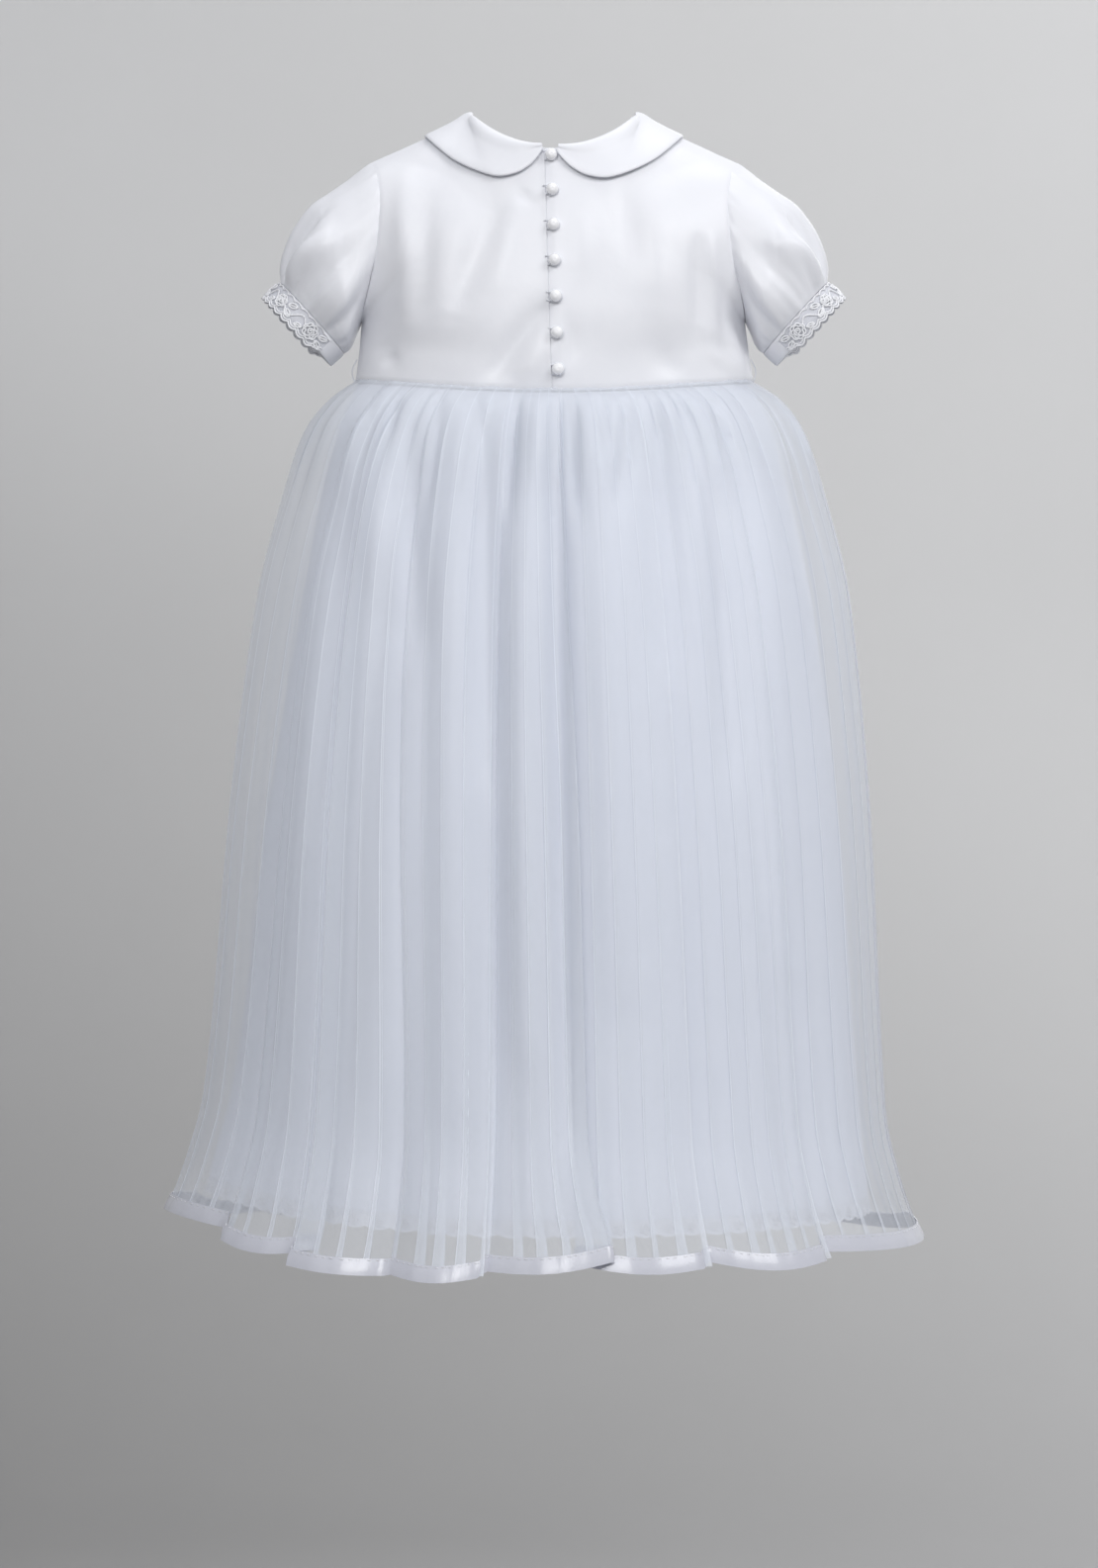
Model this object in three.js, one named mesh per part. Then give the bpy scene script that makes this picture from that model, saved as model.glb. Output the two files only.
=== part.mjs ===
// A christening gown as it is worn: a satin bodice buttoned down the back, a round collar in
// two halves, puffed sleeves with lace cuffs, and a long pleated organza skirt over a lining.
// Millimetres, +Z up. The origin is in the middle of the neck opening, level with the tops of
// the shoulder seams. The buttoned back faces -Y and the front faces +Y.
import * as THREE from "three";

// Cloth walls and the gap that every seam keeps.
const SATIN = 1.6;
const ORGANZA = 1.3;
const LINING = 1.2;
const RIBBON = 1.0;
const LACE = 1.1;
const SEAM_GAP = 0.35;
const LINING_LOWERED = 1.2;

// The waist seam: an ellipse that dips towards the middle of the back and of the front.
const WAIST = { halfWidth: 121, halfDepth: 62, sideZ: -165, backDip: 10, frontDip: 8 };

// The neck edge of the bodice, an ellipse whose drop below the shoulder grows to the middle.
const NECK = { halfWidth: 48, backDepth: 38, frontDepth: 46, topZ: -3, backDrop: 25, frontDrop: 43 };
const NECK_DROP_POWER = 1.5;

// The armhole seam from the underarm up to the shoulder point: across from the middle of the
// body, and how far it runs to the back and to the front of the side line.
const ARMHOLE = [
  { z: -128, across: 116.5, back: 0, front: 0 },
  { z: -123, across: 115.4, back: 14, front: 14 },
  { z: -107, across: 111, back: 28, front: 30 },
  { z: -84, across: 106, back: 34, front: 37 },
  { z: -61, across: 104.5, back: 31, front: 34 },
  { z: -41, across: 107, back: 18, front: 20 },
  { z: -31, across: 111, back: 0, front: 0 },
];

// How the panels divide: the neck's share of the top edge, the side seam's of the outer edge.
const NECK_SHARE = 0.46;
const SIDE_SEAM_SHARE = 0.25;
const PANEL_ROWS = { sideSeam: 2, armhole: 10 };
const UNIT_U = { waist: 190, neck: 164 };
const BACK_BOW = 9;
const FRONT_BOW = 7;
const BACK_FULLNESS = 9;
const FRONT_FULLNESS = 8;

// The back closing: the left panel's edge lies over a tab of the right one.
const CLOSING = { neckX: -5.9, waistX: -1.3, tabWidth: 10, tabDrop: 2.7, stepFrom: 1.5, stepTo: 8.5 };
const LEFT_COLUMNS = [0, 0.07, 0.18, 0.32, 0.47, 0.62, 0.76, 0.88, 1];
const RIGHT_COLUMNS = [0, 0.04, 0.085, 0.13, 0.19, 0.29, 0.41, 0.53, 0.66, 0.79, 0.9, 1];
const FRONT_COLUMNS = [0, 0.13, 0.27, 0.41, 0.55, 0.68, 0.8, 0.9, 1];

// Buttons and their loops.
const BUTTON = { count: 7, radius: 3.6, topZ: -32.6, spacing: 21.7, fromEdge: 3.95, seat: 2.6 };
const LOOP = { radius: 3.65, cordRadius: 0.5, lift: 1.6, steps: 8, sides: 6, openHalfAngle: 44 };

// The collar, measured outwards from the neck seam. turn is how far the cross line has swung
// from straight down to along the shoulder, as a share of a right angle.
const COLLAR_WALL = 1.5;
const COLLAR_ROWS = [
  { across: 0, lift: 1.7 },
  { across: 0.16, lift: 3 },
  { across: 0.42, lift: 2.3 },
  { across: 0.72, lift: 2.2 },
  { across: 1, lift: 2.5 },
];
const COLLAR_LINES = [
  { along: 0, width: 3, turn: 0 },
  { along: 0.06, width: 14, turn: -0.02 },
  { along: 0.16, width: 22, turn: 0.02 },
  { along: 0.32, width: 28.5, turn: 0.14 },
  { along: 0.52, width: 33, turn: 0.36 },
  { along: 0.76, width: 35.5, turn: 0.66 },
  { along: 1, width: 36, turn: 1 },
];
const COLLAR_START = { left: 0.042, right: 0.014, front: 0.02 };
const PANEL_SPAN = { alongTop: 130, upBack: 141, upFront: 128 };

// The sleeve: rings run from the armhole to the cuff. puff is how far the top stands out.
const SLEEVE_RINGS = [
  { along: 0, puff: 0, gather: 0 },
  { along: 0.1, puff: 3.4, gather: 0 },
  { along: 0.25, puff: 7.6, gather: 0 },
  { along: 0.42, puff: 12, gather: 0.1 },
  { along: 0.58, puff: 15, gather: 0.4 },
  { along: 0.72, puff: 13.4, gather: 0.8 },
  { along: 0.86, puff: 8.8, gather: 1.5 },
  { along: 0.95, puff: 4, gather: 1.6 },
  { along: 1, puff: 0.4, gather: 0 },
];
const SLEEVE_WALL = 1.4;
const UNDERARM_PUFF_SHARE = 0.1;
const SLEEVE_FROM_ARMHOLE = 0.6;

// The cuff: a band square to the lower arm. slope is its tilt in the view from behind.
const CUFF = { x: 146.5, z: -125.5, halfLength: 28.6, halfDepth: 25, height: 11, slope: 47.8, wall: 1.6 };
const CUFF_LACE = { reach: 132, below: 3.5, above: -1.6, columns: 30, scallop: 1.1, wall: LACE };

// The thread loops for a sash, on the side seams.
const SASH_LOOP = { topZ: -151, bottomZ: -163, stand: 3.2, cordRadius: 0.6, steps: 8, sides: 6 };

// The organza skirt. drop is the share of the way from waist to hem; left, right, back and
// front are half sizes of the ring; pleat and fold scale the small and the large folds; lap
// is the share of the hem's overlaps that is already there.
const SKIRT = [
  { drop: 0, left: 121, right: 121, back: 62, front: 62, pleat: 0.4, fold: 0, lap: 0 },
  { drop: 0.022, left: 134, right: 137, back: 76, front: 74, pleat: 0.8, fold: 0.34, lap: 0 },
  { drop: 0.06, left: 147, right: 150, back: 87, front: 85, pleat: 1.2, fold: 0.4, lap: 0 },
  { drop: 0.13, left: 158, right: 161, back: 98, front: 95, pleat: 1.6, fold: 0.45, lap: 0 },
  { drop: 0.26, left: 174, right: 176, back: 113, front: 110, pleat: 2, fold: 0.55, lap: 0.2 },
  { drop: 0.5, left: 190, right: 187, back: 131, front: 128, pleat: 2.4, fold: 0.7, lap: 0.6 },
  { drop: 0.86, left: 206, right: 196, back: 149, front: 146, pleat: 2.6, fold: 0.85, lap: 0.8 },
  { drop: 0.93, left: 215, right: 204, back: 158, front: 155, pleat: 2, fold: 0.93, lap: 0.9 },
  { drop: 0.984, left: 225, right: 214, back: 166, front: 163, pleat: 0.7, fold: 0.98, lap: 1 },
  { drop: 1, left: 229, right: 218, back: 169, front: 166, pleat: 0.3, fold: 1, lap: 1 },
];
const PLEAT_VALLEY = 0.78;

// The large folds, in order round the skirt from its left side seam: where each begins at the waist
// and at the hem, in degrees from the middle of the back; how far its end runs past the next
// one's start; how far its two edges stand out; the hem's height; and the pleats that it holds.
// The first BACK_FOLDS of them are the back's, up to the right side seam.
const FOLDS = [
  { waist: -100, hem: -104, past: -1.5, outStart: 2, outEnd: -3, zStart: -667, zMid: -662, zEnd: -666, pleats: 7 },
  { waist: -54, hem: -56, past: 3, outStart: 4, outEnd: -5, zStart: -672, zMid: -677, zEnd: -674, pleats: 4 },
  { waist: -42, hem: -40, past: -1, outStart: 9, outEnd: -1, zStart: -682, zMid: -685, zEnd: -686, pleats: 4 },
  { waist: -30, hem: -23.6, past: -1, outStart: 1, outEnd: 5, zStart: -685, zMid: -688, zEnd: -685, pleats: 4 },
  { waist: -11, hem: -9.6, past: 4.7, outStart: -2, outEnd: 9, zStart: -682, zMid: -682, zEnd: -675, pleats: 5 },
  { waist: 2, hem: 3.4, past: -1, outStart: -3, outEnd: 4, zStart: -681, zMid: -684, zEnd: -681, pleats: 5 },
  { waist: 21, hem: 23.7, past: -1, outStart: -3, outEnd: 3, zStart: -678, zMid: -684, zEnd: -681, pleats: 6 },
  { waist: 42, hem: 46.2, past: -0.16, outStart: -4, outEnd: 2, zStart: -677, zMid: -680, zEnd: -677, pleats: 9 },
  { waist: 95, hem: 97, past: -1, outStart: 2, outEnd: -3, zStart: -677, zMid: -683, zEnd: -682, pleats: 5 },
  { waist: 130, hem: 128, past: -1, outStart: 4, outEnd: -2, zStart: -683, zMid: -686, zEnd: -685, pleats: 5 },
  { waist: 156, hem: 152, past: -1, outStart: 4, outEnd: 4, zStart: -685, zMid: -688, zEnd: -686, pleats: 6 },
  { waist: 181, hem: 180, past: -1, outStart: -3, outEnd: 4, zStart: -684, zMid: -687, zEnd: -684, pleats: 6 },
  { waist: 205, hem: 206, past: -1, outStart: -3, outEnd: 4, zStart: -681, zMid: -684, zEnd: -679, pleats: 5 },
  { waist: 232, hem: 232, past: -0.16, outStart: -3, outEnd: 2, zStart: -676, zMid: -676, zEnd: -667, pleats: 5 },
];
const BACK_FOLDS = 8;
const FOLD_CROWN = 3;
const FOLD_TURN = 4.2;
const SHUT_GAP = 1.2;

// The ribbon along the hem, between the last two rings. below is its share under the hem.
const HEM_RIBBON = { below: 0.12, off: 0.45 };

// The satin lining skirt, and the lace along its edge.
const LINING_SKIRT = [
  { drop: 0, left: 119.2, right: 119.2, back: 60.2, front: 60.2, fold: 0 },
  { drop: 0.05, left: 129, right: 131, back: 70, front: 68, fold: 0.25 },
  { drop: 0.14, left: 140, right: 143, back: 80, front: 78, fold: 0.5 },
  { drop: 0.3, left: 154, right: 158, back: 94, front: 92, fold: 0.7 },
  { drop: 0.55, left: 173, right: 172, back: 111, front: 108, fold: 0.85 },
  { drop: 0.87, left: 191, right: 183, back: 130, front: 127, fold: 1 },
  { drop: 1, left: 206, right: 189, back: 141, front: 138, fold: 1.2 },
];
const LINING_HEM = { leftZ: -642, rightZ: -654, backZ: -656, frontZ: -656 };
const LINING_FOLDS = { count: 12, depth: 2.2, halfSpans: 24, seamDegrees: 0.06 };
const LINING_LACE = { height: 9, flare: 2, points: 96, scallop: 1.6 };

const DEG = Math.PI / 180;
const { lerp } = THREE.MathUtils;

const MATERIALS = {
  satin: new THREE.MeshStandardMaterial({ color: 0xf1f2f8, roughness: 0.38, metalness: 0 }),
  lining: new THREE.MeshStandardMaterial({ color: 0xe9ecf5, roughness: 0.5, metalness: 0 }),
  organza: new THREE.MeshStandardMaterial({
    color: 0xeef1f8, roughness: 0.6, metalness: 0, transparent: true, opacity: 0.45,
  }),
  ribbon: new THREE.MeshStandardMaterial({ color: 0xe6e8f4, roughness: 0.3, metalness: 0 }),
  lace: new THREE.MeshStandardMaterial({ color: 0xf3f4f8, roughness: 0.8, metalness: 0 }),
  pearl: new THREE.MeshStandardMaterial({ color: 0xf4f3f2, roughness: 0.22, metalness: 0 }),
};

const gown = new THREE.Group();

// Adds one closed body to the gown as a named mesh.
function addPart(name, geometry, material) {
  const mesh = new THREE.Mesh(geometry, material);
  mesh.name = name;
  gown.add(mesh);
}

// The wall between two grids of points with the same rows and columns. A closed grid's last
// column joins its first.
function wallGeometry(outer, inner, closed) {
  const rows = outer.length;
  const columns = outer[0].length;
  const skin = rows * columns;
  const positions = [...outer.flat(), ...inner.flat()].flatMap((p) => [p.x, p.y, p.z]);
  const at = (row, column, side) => side * skin + row * columns + (column % columns);
  const faces = [];
  const quad = (a, b, c, d) => faces.push(a, b, c, a, c, d);
  const spans = closed ? columns : columns - 1;
  for (let r = 0; r < rows - 1; r++) {
    for (let c = 0; c < spans; c++) {
      quad(at(r, c, 0), at(r, c + 1, 0), at(r + 1, c + 1, 0), at(r + 1, c, 0));
      quad(at(r, c, 1), at(r + 1, c, 1), at(r + 1, c + 1, 1), at(r, c + 1, 1));
    }
  }
  for (let c = 0; c < spans; c++) {
    const last = rows - 1;
    quad(at(0, c, 0), at(0, c, 1), at(0, c + 1, 1), at(0, c + 1, 0));
    quad(at(last, c, 0), at(last, c + 1, 0), at(last, c + 1, 1), at(last, c, 1));
  }
  if (!closed) {
    const last = columns - 1;
    for (let r = 0; r < rows - 1; r++) {
      quad(at(r, 0, 0), at(r + 1, 0, 0), at(r + 1, 0, 1), at(r, 0, 1));
      quad(at(r, last, 0), at(r, last, 1), at(r + 1, last, 1), at(r + 1, last, 0));
    }
  }
  return facingOut(positions, faces);
}

// An indexed geometry whose faces point out of the body.
function facingOut(positions, faces) {
  const point = (i) => new THREE.Vector3().fromArray(positions, 3 * i);
  let volume = 0;
  for (let i = 0; i < faces.length; i += 3) {
    volume += point(faces[i]).dot(point(faces[i + 1]).cross(point(faces[i + 2])));
  }
  const turned = volume > 0 ? faces : faces.slice().reverse();
  const geometry = new THREE.BufferGeometry();
  geometry.setAttribute("position", new THREE.Float32BufferAttribute(positions, 3));
  geometry.setIndex(turned);
  geometry.computeVertexNormals();
  return geometry;
}

// Each point of a grid moved by its own vector times a distance.
function movedGrid(grid, directions, distance) {
  return grid.map((row, r) => row.map((p, c) => p.clone().addScaledVector(directions[r][c], distance)));
}

// Unit normals of a grid, from its neighbours along the rows and the columns.
function gridNormals(grid, closed, sign) {
  const rows = grid.length;
  const columns = grid[0].length;
  return grid.map((row, r) =>
    row.map((_, c) => {
      const before = closed ? (c + columns - 1) % columns : Math.max(c - 1, 0);
      const after = closed ? (c + 1) % columns : Math.min(c + 1, columns - 1);
      const along = row[after].clone().sub(row[before]);
      const down = grid[Math.min(r + 1, rows - 1)][c].clone().sub(grid[Math.max(r - 1, 0)][c]);
      return along.cross(down).normalize().multiplyScalar(sign);
    }),
  );
}

// Level outward directions of a closed ring, lengthened at its corners so that a wall keeps
// its thickness there. seams holds the points after which the ring is cut through: the two
// ends there get one direction.
function ringDirections(ring, seams = []) {
  const count = ring.length;
  const outOf = (a, b) => new THREE.Vector3(b.y - a.y, a.x - b.x, 0).normalize();
  const spans = ring.map((p, i) => outOf(p, ring[(i + 1) % count]));
  return ring.map((_, i) => {
    const previous = (i + count - 1) % count;
    const before = spans[seams.includes(previous) ? (i + count - 2) % count : previous];
    const after = spans[seams.includes(i) ? (i + 1) % count : i];
    const middle = before.clone().add(after).normalize();
    return middle.divideScalar(Math.max(middle.dot(after), 0.55));
  });
}

// A closed level ring's wall: offset is where its outer face lies from the points.
function ringWall(rings, wall, offset = 0) {
  const directions = rings.map((ring) => ringDirections(ring));
  return wallGeometry(movedGrid(rings, directions, offset), movedGrid(rings, directions, offset - wall), true);
}

// A ring's wall in two pieces that meet at the side seams: its first points are the back's.
function splitRingWall(rings, wall, backCount) {
  const count = rings[0].length;
  const seams = [backCount - 1, count - 1];
  const inner = movedGrid(rings, rings.map((ring) => ringDirections(ring, seams)), -wall);
  const cut = (grid, from, to) => grid.map((row) => row.slice(from, to));
  const piece = (from, to) => wallGeometry(cut(rings, from, to), cut(inner, from, to), false);
  return { back: piece(0, backCount), front: piece(backCount, count) };
}

// A point of an ellipse with its own half size on each side. The angle is from the middle of
// the back, towards +X.
function ellipsePoint(degrees, size, out = 0) {
  const across = Math.sin(degrees * DEG);
  const away = Math.cos(degrees * DEG);
  const halfWidth = across < 0 ? size.left : size.right;
  const halfDepth = away > 0 ? size.back : size.front;
  const normal = new THREE.Vector2(across / halfWidth, -away / halfDepth).normalize();
  return new THREE.Vector3(halfWidth * across + out * normal.x, -halfDepth * away + out * normal.y, 0);
}

const mirrored = (p) => new THREE.Vector3(-p.x, p.y, p.z);

function waistZ(degrees) {
  const away = Math.cos(degrees * DEG);
  return WAIST.sideZ - (away > 0 ? WAIST.backDip : WAIST.frontDip) * away * away;
}

function waistPoint(degrees) {
  const { halfWidth, halfDepth } = WAIST;
  const size = { left: halfWidth, right: halfWidth, back: halfDepth, front: halfDepth };
  return ellipsePoint(degrees, size).setZ(waistZ(degrees));
}

function neckPoint(degrees) {
  const away = Math.cos(degrees * DEG);
  const isBack = away > 0;
  const drop = (isBack ? NECK.backDrop : NECK.frontDrop) * Math.abs(away) ** NECK_DROP_POWER;
  const depth = isBack ? NECK.backDepth : NECK.frontDepth;
  return new THREE.Vector3(NECK.halfWidth * Math.sin(degrees * DEG), -depth * away, NECK.topZ - drop);
}

// The armhole seam on one side of the body, from the underarm up, as a curve.
function armholeCurve(face) {
  const away = face === "back" ? (row) => -row.back : (row) => row.front;
  return new THREE.CatmullRomCurve3(ARMHOLE.map((row) => new THREE.Vector3(row.across, away(row), row.z)));
}

// One half of the bodice's back or front on the wearer's right, as a function of u from the
// middle to the side and v from the waist to the top: a surface between its four edges, with
// some fullness, that runs on smoothly over the middle line.
function panelSurface(face) {
  const isBack = face === "back";
  const outwards = isBack ? -1 : 1;
  const bow = outwards * (isBack ? BACK_BOW : FRONT_BOW);
  const fullness = outwards * (isBack ? BACK_FULLNESS : FRONT_FULLNESS);
  const degrees = (u) => (isBack ? 90 * u : 180 - 90 * u);
  const armhole = armholeCurve(face);
  const shoulder = armhole.getPoint(1);
  const bottom = (u) => waistPoint(degrees(u));
  const top = (u) => {
    if (u < NECK_SHARE) return neckPoint(degrees(u / NECK_SHARE));
    return neckPoint(degrees(1)).lerp(shoulder, (u - NECK_SHARE) / (1 - NECK_SHARE));
  };
  const middleEdge = (v) => {
    const point = bottom(0).lerp(top(0), v);
    point.y += bow * Math.sin(Math.PI * v);
    return point;
  };
  const sideEdge = (v) => {
    if (v < SIDE_SEAM_SHARE) return bottom(1).lerp(armhole.getPoint(0), v / SIDE_SEAM_SHARE);
    return armhole.getPointAt((v - SIDE_SEAM_SHARE) / (1 - SIDE_SEAM_SHARE));
  };
  const corners = [bottom(0), bottom(1), top(0), shoulder];
  return (u, v) => {
    const side = THREE.MathUtils.smoothstep(u, 0, 1);
    const point = bottom(u).multiplyScalar(1 - v).addScaledVector(top(u), v);
    point.addScaledVector(middleEdge(v), 1 - side).addScaledVector(sideEdge(v), side);
    const shares = [(1 - side) * (1 - v), side * (1 - v), (1 - side) * v, side * v];
    corners.forEach((corner, i) => point.addScaledVector(corner, -shares[i]));
    point.y += fullness * Math.sin(Math.PI * u) ** 2 * Math.sin(Math.PI * v);
    point.y += (outwards * SEAM_GAP) / 2;
    return point;
  };
}

const backHalf = panelSurface("back");
const frontHalf = panelSurface("front");

// The whole back, with u below 0 on the wearer's left.
const wholeBack = (u, v) => (u < 0 ? mirrored(backHalf(-u, v)) : backHalf(u, v));

// Where the left panel's edge lies at a height, and its u.
function closingX(z) {
  const { sideZ, backDip } = WAIST;
  const share = (z - sideZ + backDip) / (NECK.topZ - NECK.backDrop - sideZ + backDip);
  return lerp(CLOSING.waistX, CLOSING.neckX, THREE.MathUtils.clamp(share, 0, 1));
}

const closingU = (v) => lerp(CLOSING.waistX / UNIT_U.waist, CLOSING.neckX / UNIT_U.neck, v);
const tabU = (v) => closingU(v) - CLOSING.tabWidth / lerp(UNIT_U.waist, UNIT_U.neck, v);

// The two back panels, by their share from the closing to the side. The right one's tab is
// stepped in to lie under the left one's edge.
const leftBack = (share, v) => wholeBack(lerp(closingU(v), -1, share), v);

function rightBack(share, v) {
  const point = wholeBack(lerp(tabU(v), 1, share), v);
  const past = point.x - closingX(point.z);
  point.y += CLOSING.tabDrop * (1 - THREE.MathUtils.smoothstep(past, CLOSING.stepFrom, CLOSING.stepTo));
  return point;
}

const PANEL_LEVELS = [
  ...Array.from({ length: PANEL_ROWS.sideSeam }, (_, i) => (SIDE_SEAM_SHARE * i) / PANEL_ROWS.sideSeam),
  ...Array.from(
    { length: PANEL_ROWS.armhole + 1 },
    (_, i) => SIDE_SEAM_SHARE + ((1 - SIDE_SEAM_SHARE) * i) / PANEL_ROWS.armhole,
  ),
];

const panelGrid = (surface, columns) => PANEL_LEVELS.map((v) => columns.map((u) => surface(u, v)));

// The panel's wall. Its outward normals have no Y part on the seams of the side and shoulder,
// so that the panels meet there face to face.
function panelGeometry(grid, seamColumns, sign) {
  const normals = gridNormals(grid, false, sign);
  const flatten = (n) => n.setY(0).normalize();
  for (let r = 0; r <= PANEL_ROWS.sideSeam; r++) {
    seamColumns.forEach((c) => flatten(normals[r][c]));
  }
  const top = grid.length - 1;
  grid[top].forEach((p, c) => {
    if (Math.abs(p.y) < 1) flatten(normals[top][c]);
  });
  return wallGeometry(grid, movedGrid(grid, normals, -SATIN), false);
}

function addBodice() {
  const left = panelGrid(leftBack, LEFT_COLUMNS);
  const right = panelGrid(rightBack, RIGHT_COLUMNS);
  const frontRight = panelGrid(frontHalf, FRONT_COLUMNS);
  const front = frontRight.map((row) => [...row.slice(1).reverse().map(mirrored), ...row]);
  addPart("back_left", panelGeometry(left, [LEFT_COLUMNS.length - 1], -1), MATERIALS.satin);
  addPart("back_right", panelGeometry(right, [RIGHT_COLUMNS.length - 1], 1), MATERIALS.satin);
  addPart("front", panelGeometry(front, [0, front[0].length - 1], -1), MATERIALS.satin);
}

// The outward normal of a surface, by small steps along it.
function surfaceNormal(surface, u, v, sign) {
  const step = 0.01;
  const low = (x) => Math.min(Math.max(x, 0), 1 - step);
  const along = surface(low(u) + step, v).sub(surface(low(u), v));
  const up = surface(u, low(v) + step).sub(surface(u, low(v)));
  return along.cross(up).normalize().multiplyScalar(sign);
}

// The points of one cross line of the collar's back or front half, lifted off the panel.
function collarLine(surface, sign, start, span, line) {
  const turn = line.turn * 90 * DEG;
  const fromU = lerp(start, NECK_SHARE, line.along);
  return COLLAR_ROWS.map(({ across, lift }) => {
    const u = fromU + ((line.width * across) / PANEL_SPAN.alongTop) * Math.sin(turn);
    const v = 1 - ((line.width * across) / span) * Math.cos(turn);
    const normal = surfaceNormal(surface, u, v, sign);
    if (line.along === 1) normal.setY(0).normalize();
    return surface(u, v).addScaledVector(normal, lift);
  });
}

// One half of the collar, from the middle of the back over the shoulder to the front.
function collarGrid(backStart) {
  const back = COLLAR_LINES.map((line) => collarLine(backHalf, 1, backStart, PANEL_SPAN.upBack, line));
  const front = COLLAR_LINES.map((line) =>
    collarLine(frontHalf, -1, COLLAR_START.front, PANEL_SPAN.upFront, line),
  );
  const onShoulder = back.at(-1).map((p, i) => p.clone().lerp(front.at(-1)[i], 0.5));
  return [...back.slice(0, -1), onShoulder, ...front.slice(0, -1).reverse()];
}

function addCollar() {
  const right = collarGrid(COLLAR_START.right);
  const left = collarGrid(COLLAR_START.left).map((line) => line.map(mirrored));
  [["collar_left", left, -1], ["collar_right", right, 1]].forEach(([name, grid, sign]) => {
    const outer = movedGrid(grid, gridNormals(grid, false, sign), COLLAR_WALL);
    addPart(name, wallGeometry(outer, grid, false), MATERIALS.satin);
  });
}

// The armhole's points on the panels, from the shoulder down the back and up the front.
function armholeRing() {
  const last = PANEL_LEVELS.slice(PANEL_ROWS.sideSeam);
  const back = last.map((v) => rightBack(1, v)).reverse();
  const front = last.map((v) => frontHalf(1, v));
  return [...back, ...front.slice(1, -1)];
}

// A ring of the cuff, along its axis by a distance, with the armhole ring's count of points.
function cuffRing(along, grown, count) {
  const outer = new THREE.Vector3(Math.cos(CUFF.slope * DEG), 0, Math.sin(CUFF.slope * DEG));
  const axis = new THREE.Vector3(Math.sin(CUFF.slope * DEG), 0, -Math.cos(CUFF.slope * DEG));
  const centre = new THREE.Vector3(CUFF.x, 0, CUFF.z).addScaledVector(axis, along);
  return Array.from({ length: count }, (_, i) => {
    const angle = (360 * i * DEG) / count;
    const point = centre.clone().addScaledVector(outer, (CUFF.halfLength + grown) * Math.cos(angle));
    point.y -= (CUFF.halfDepth + grown) * Math.sin(angle);
    return point;
  });
}

function centreOf(ring) {
  const centre = new THREE.Vector3();
  ring.forEach((p) => centre.add(p));
  return centre.divideScalar(ring.length);
}

// The right sleeve's rings, from the armhole to the cuff.
function sleeveRings() {
  const armhole = armholeRing();
  armhole.forEach((p) => (p.x += SLEEVE_FROM_ARMHOLE));
  const end = cuffRing(-SEAM_GAP, 0, armhole.length);
  return SLEEVE_RINGS.map(({ along, puff, gather }) => {
    const ring = armhole.map((p, i) => p.clone().lerp(end[i], along));
    const centre = centreOf(ring);
    return ring.map((p, i) => {
      const towardsTop = 0.5 + 0.5 * Math.cos((360 * i * DEG) / ring.length);
      const share = UNDERARM_PUFF_SHARE + (1 - UNDERARM_PUFF_SHARE) * towardsTop ** 0.6;
      const wave = gather * (i % 2 ? -1 : 1) * (0.25 + 0.75 * towardsTop);
      const outwards = p.clone().sub(centre).normalize();
      return p.addScaledVector(outwards, puff * share + wave);
    });
  });
}

function tubeWall(rings, wall, sign) {
  return wallGeometry(rings, movedGrid(rings, gridNormals(rings, true, sign), -wall), true);
}

const otherSide = (rings) => rings.map((ring) => ring.map(mirrored));

// The lace strip on the cuff, which leaves the underarm bare.
function cuffLaceGrid(offset) {
  const { reach, below, above, columns, scallop } = CUFF_LACE;
  const levels = [-above, CUFF.height / 2, CUFF.height + below];
  const rings = levels.map((along) => cuffRing(along, offset, 360));
  const axis = new THREE.Vector3(Math.sin(CUFF.slope * DEG), 0, -Math.cos(CUFF.slope * DEG));
  return rings.map((ring, r) =>
    Array.from({ length: columns + 1 }, (_, c) => {
      const degrees = Math.round(lerp(-reach, reach, c / columns) + 360) % 360;
      const wave = (c % 2 ? 1 : -1) * scallop * (r - 1);
      return ring[degrees].clone().addScaledVector(axis, wave);
    }),
  );
}

function addSleeves() {
  const sleeve = sleeveRings();
  const count = sleeve[0].length;
  const cuff = [0, CUFF.height].map((along) => cuffRing(along, 0, count));
  const laceInner = cuffLaceGrid(SEAM_GAP);
  const laceOuter = cuffLaceGrid(SEAM_GAP + CUFF_LACE.wall);
  [["right", (rings) => rings, 1], ["left", otherSide, -1]].forEach(([side, place, sign]) => {
    addPart(`sleeve_${side}`, tubeWall(place(sleeve), SLEEVE_WALL, sign), MATERIALS.satin);
    addPart(`cuff_${side}`, tubeWall(place(cuff), CUFF.wall, sign), MATERIALS.satin);
    addPart(`cuff_lace_${side}`, wallGeometry(place(laceOuter), place(laceInner), false), MATERIALS.lace);
  });
}

// A round cord along a path of points, closed at both ends.
function cordGeometry(points, radius, sides, steps) {
  const section = new THREE.Shape();
  for (let i = 0; i < sides; i++) {
    const angle = (360 * i * DEG) / sides;
    const move = i ? "lineTo" : "moveTo";
    section[move](radius * Math.cos(angle), radius * Math.sin(angle));
  }
  section.closePath();
  const path = new THREE.CatmullRomCurve3(points);
  return new THREE.ExtrudeGeometry(section, { extrudePath: path, steps });
}

// How far out the right back panel reaches under a button.
function backYAt(x, z) {
  let y = 0;
  for (let v = 0; v <= 1; v += 0.01) {
    for (let share = 0; share <= 0.16; share += 0.01) {
      const p = rightBack(share, v);
      if (Math.hypot(p.x - x, p.z - z) < BUTTON.seat) y = Math.min(y, p.y);
    }
  }
  return y;
}

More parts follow.
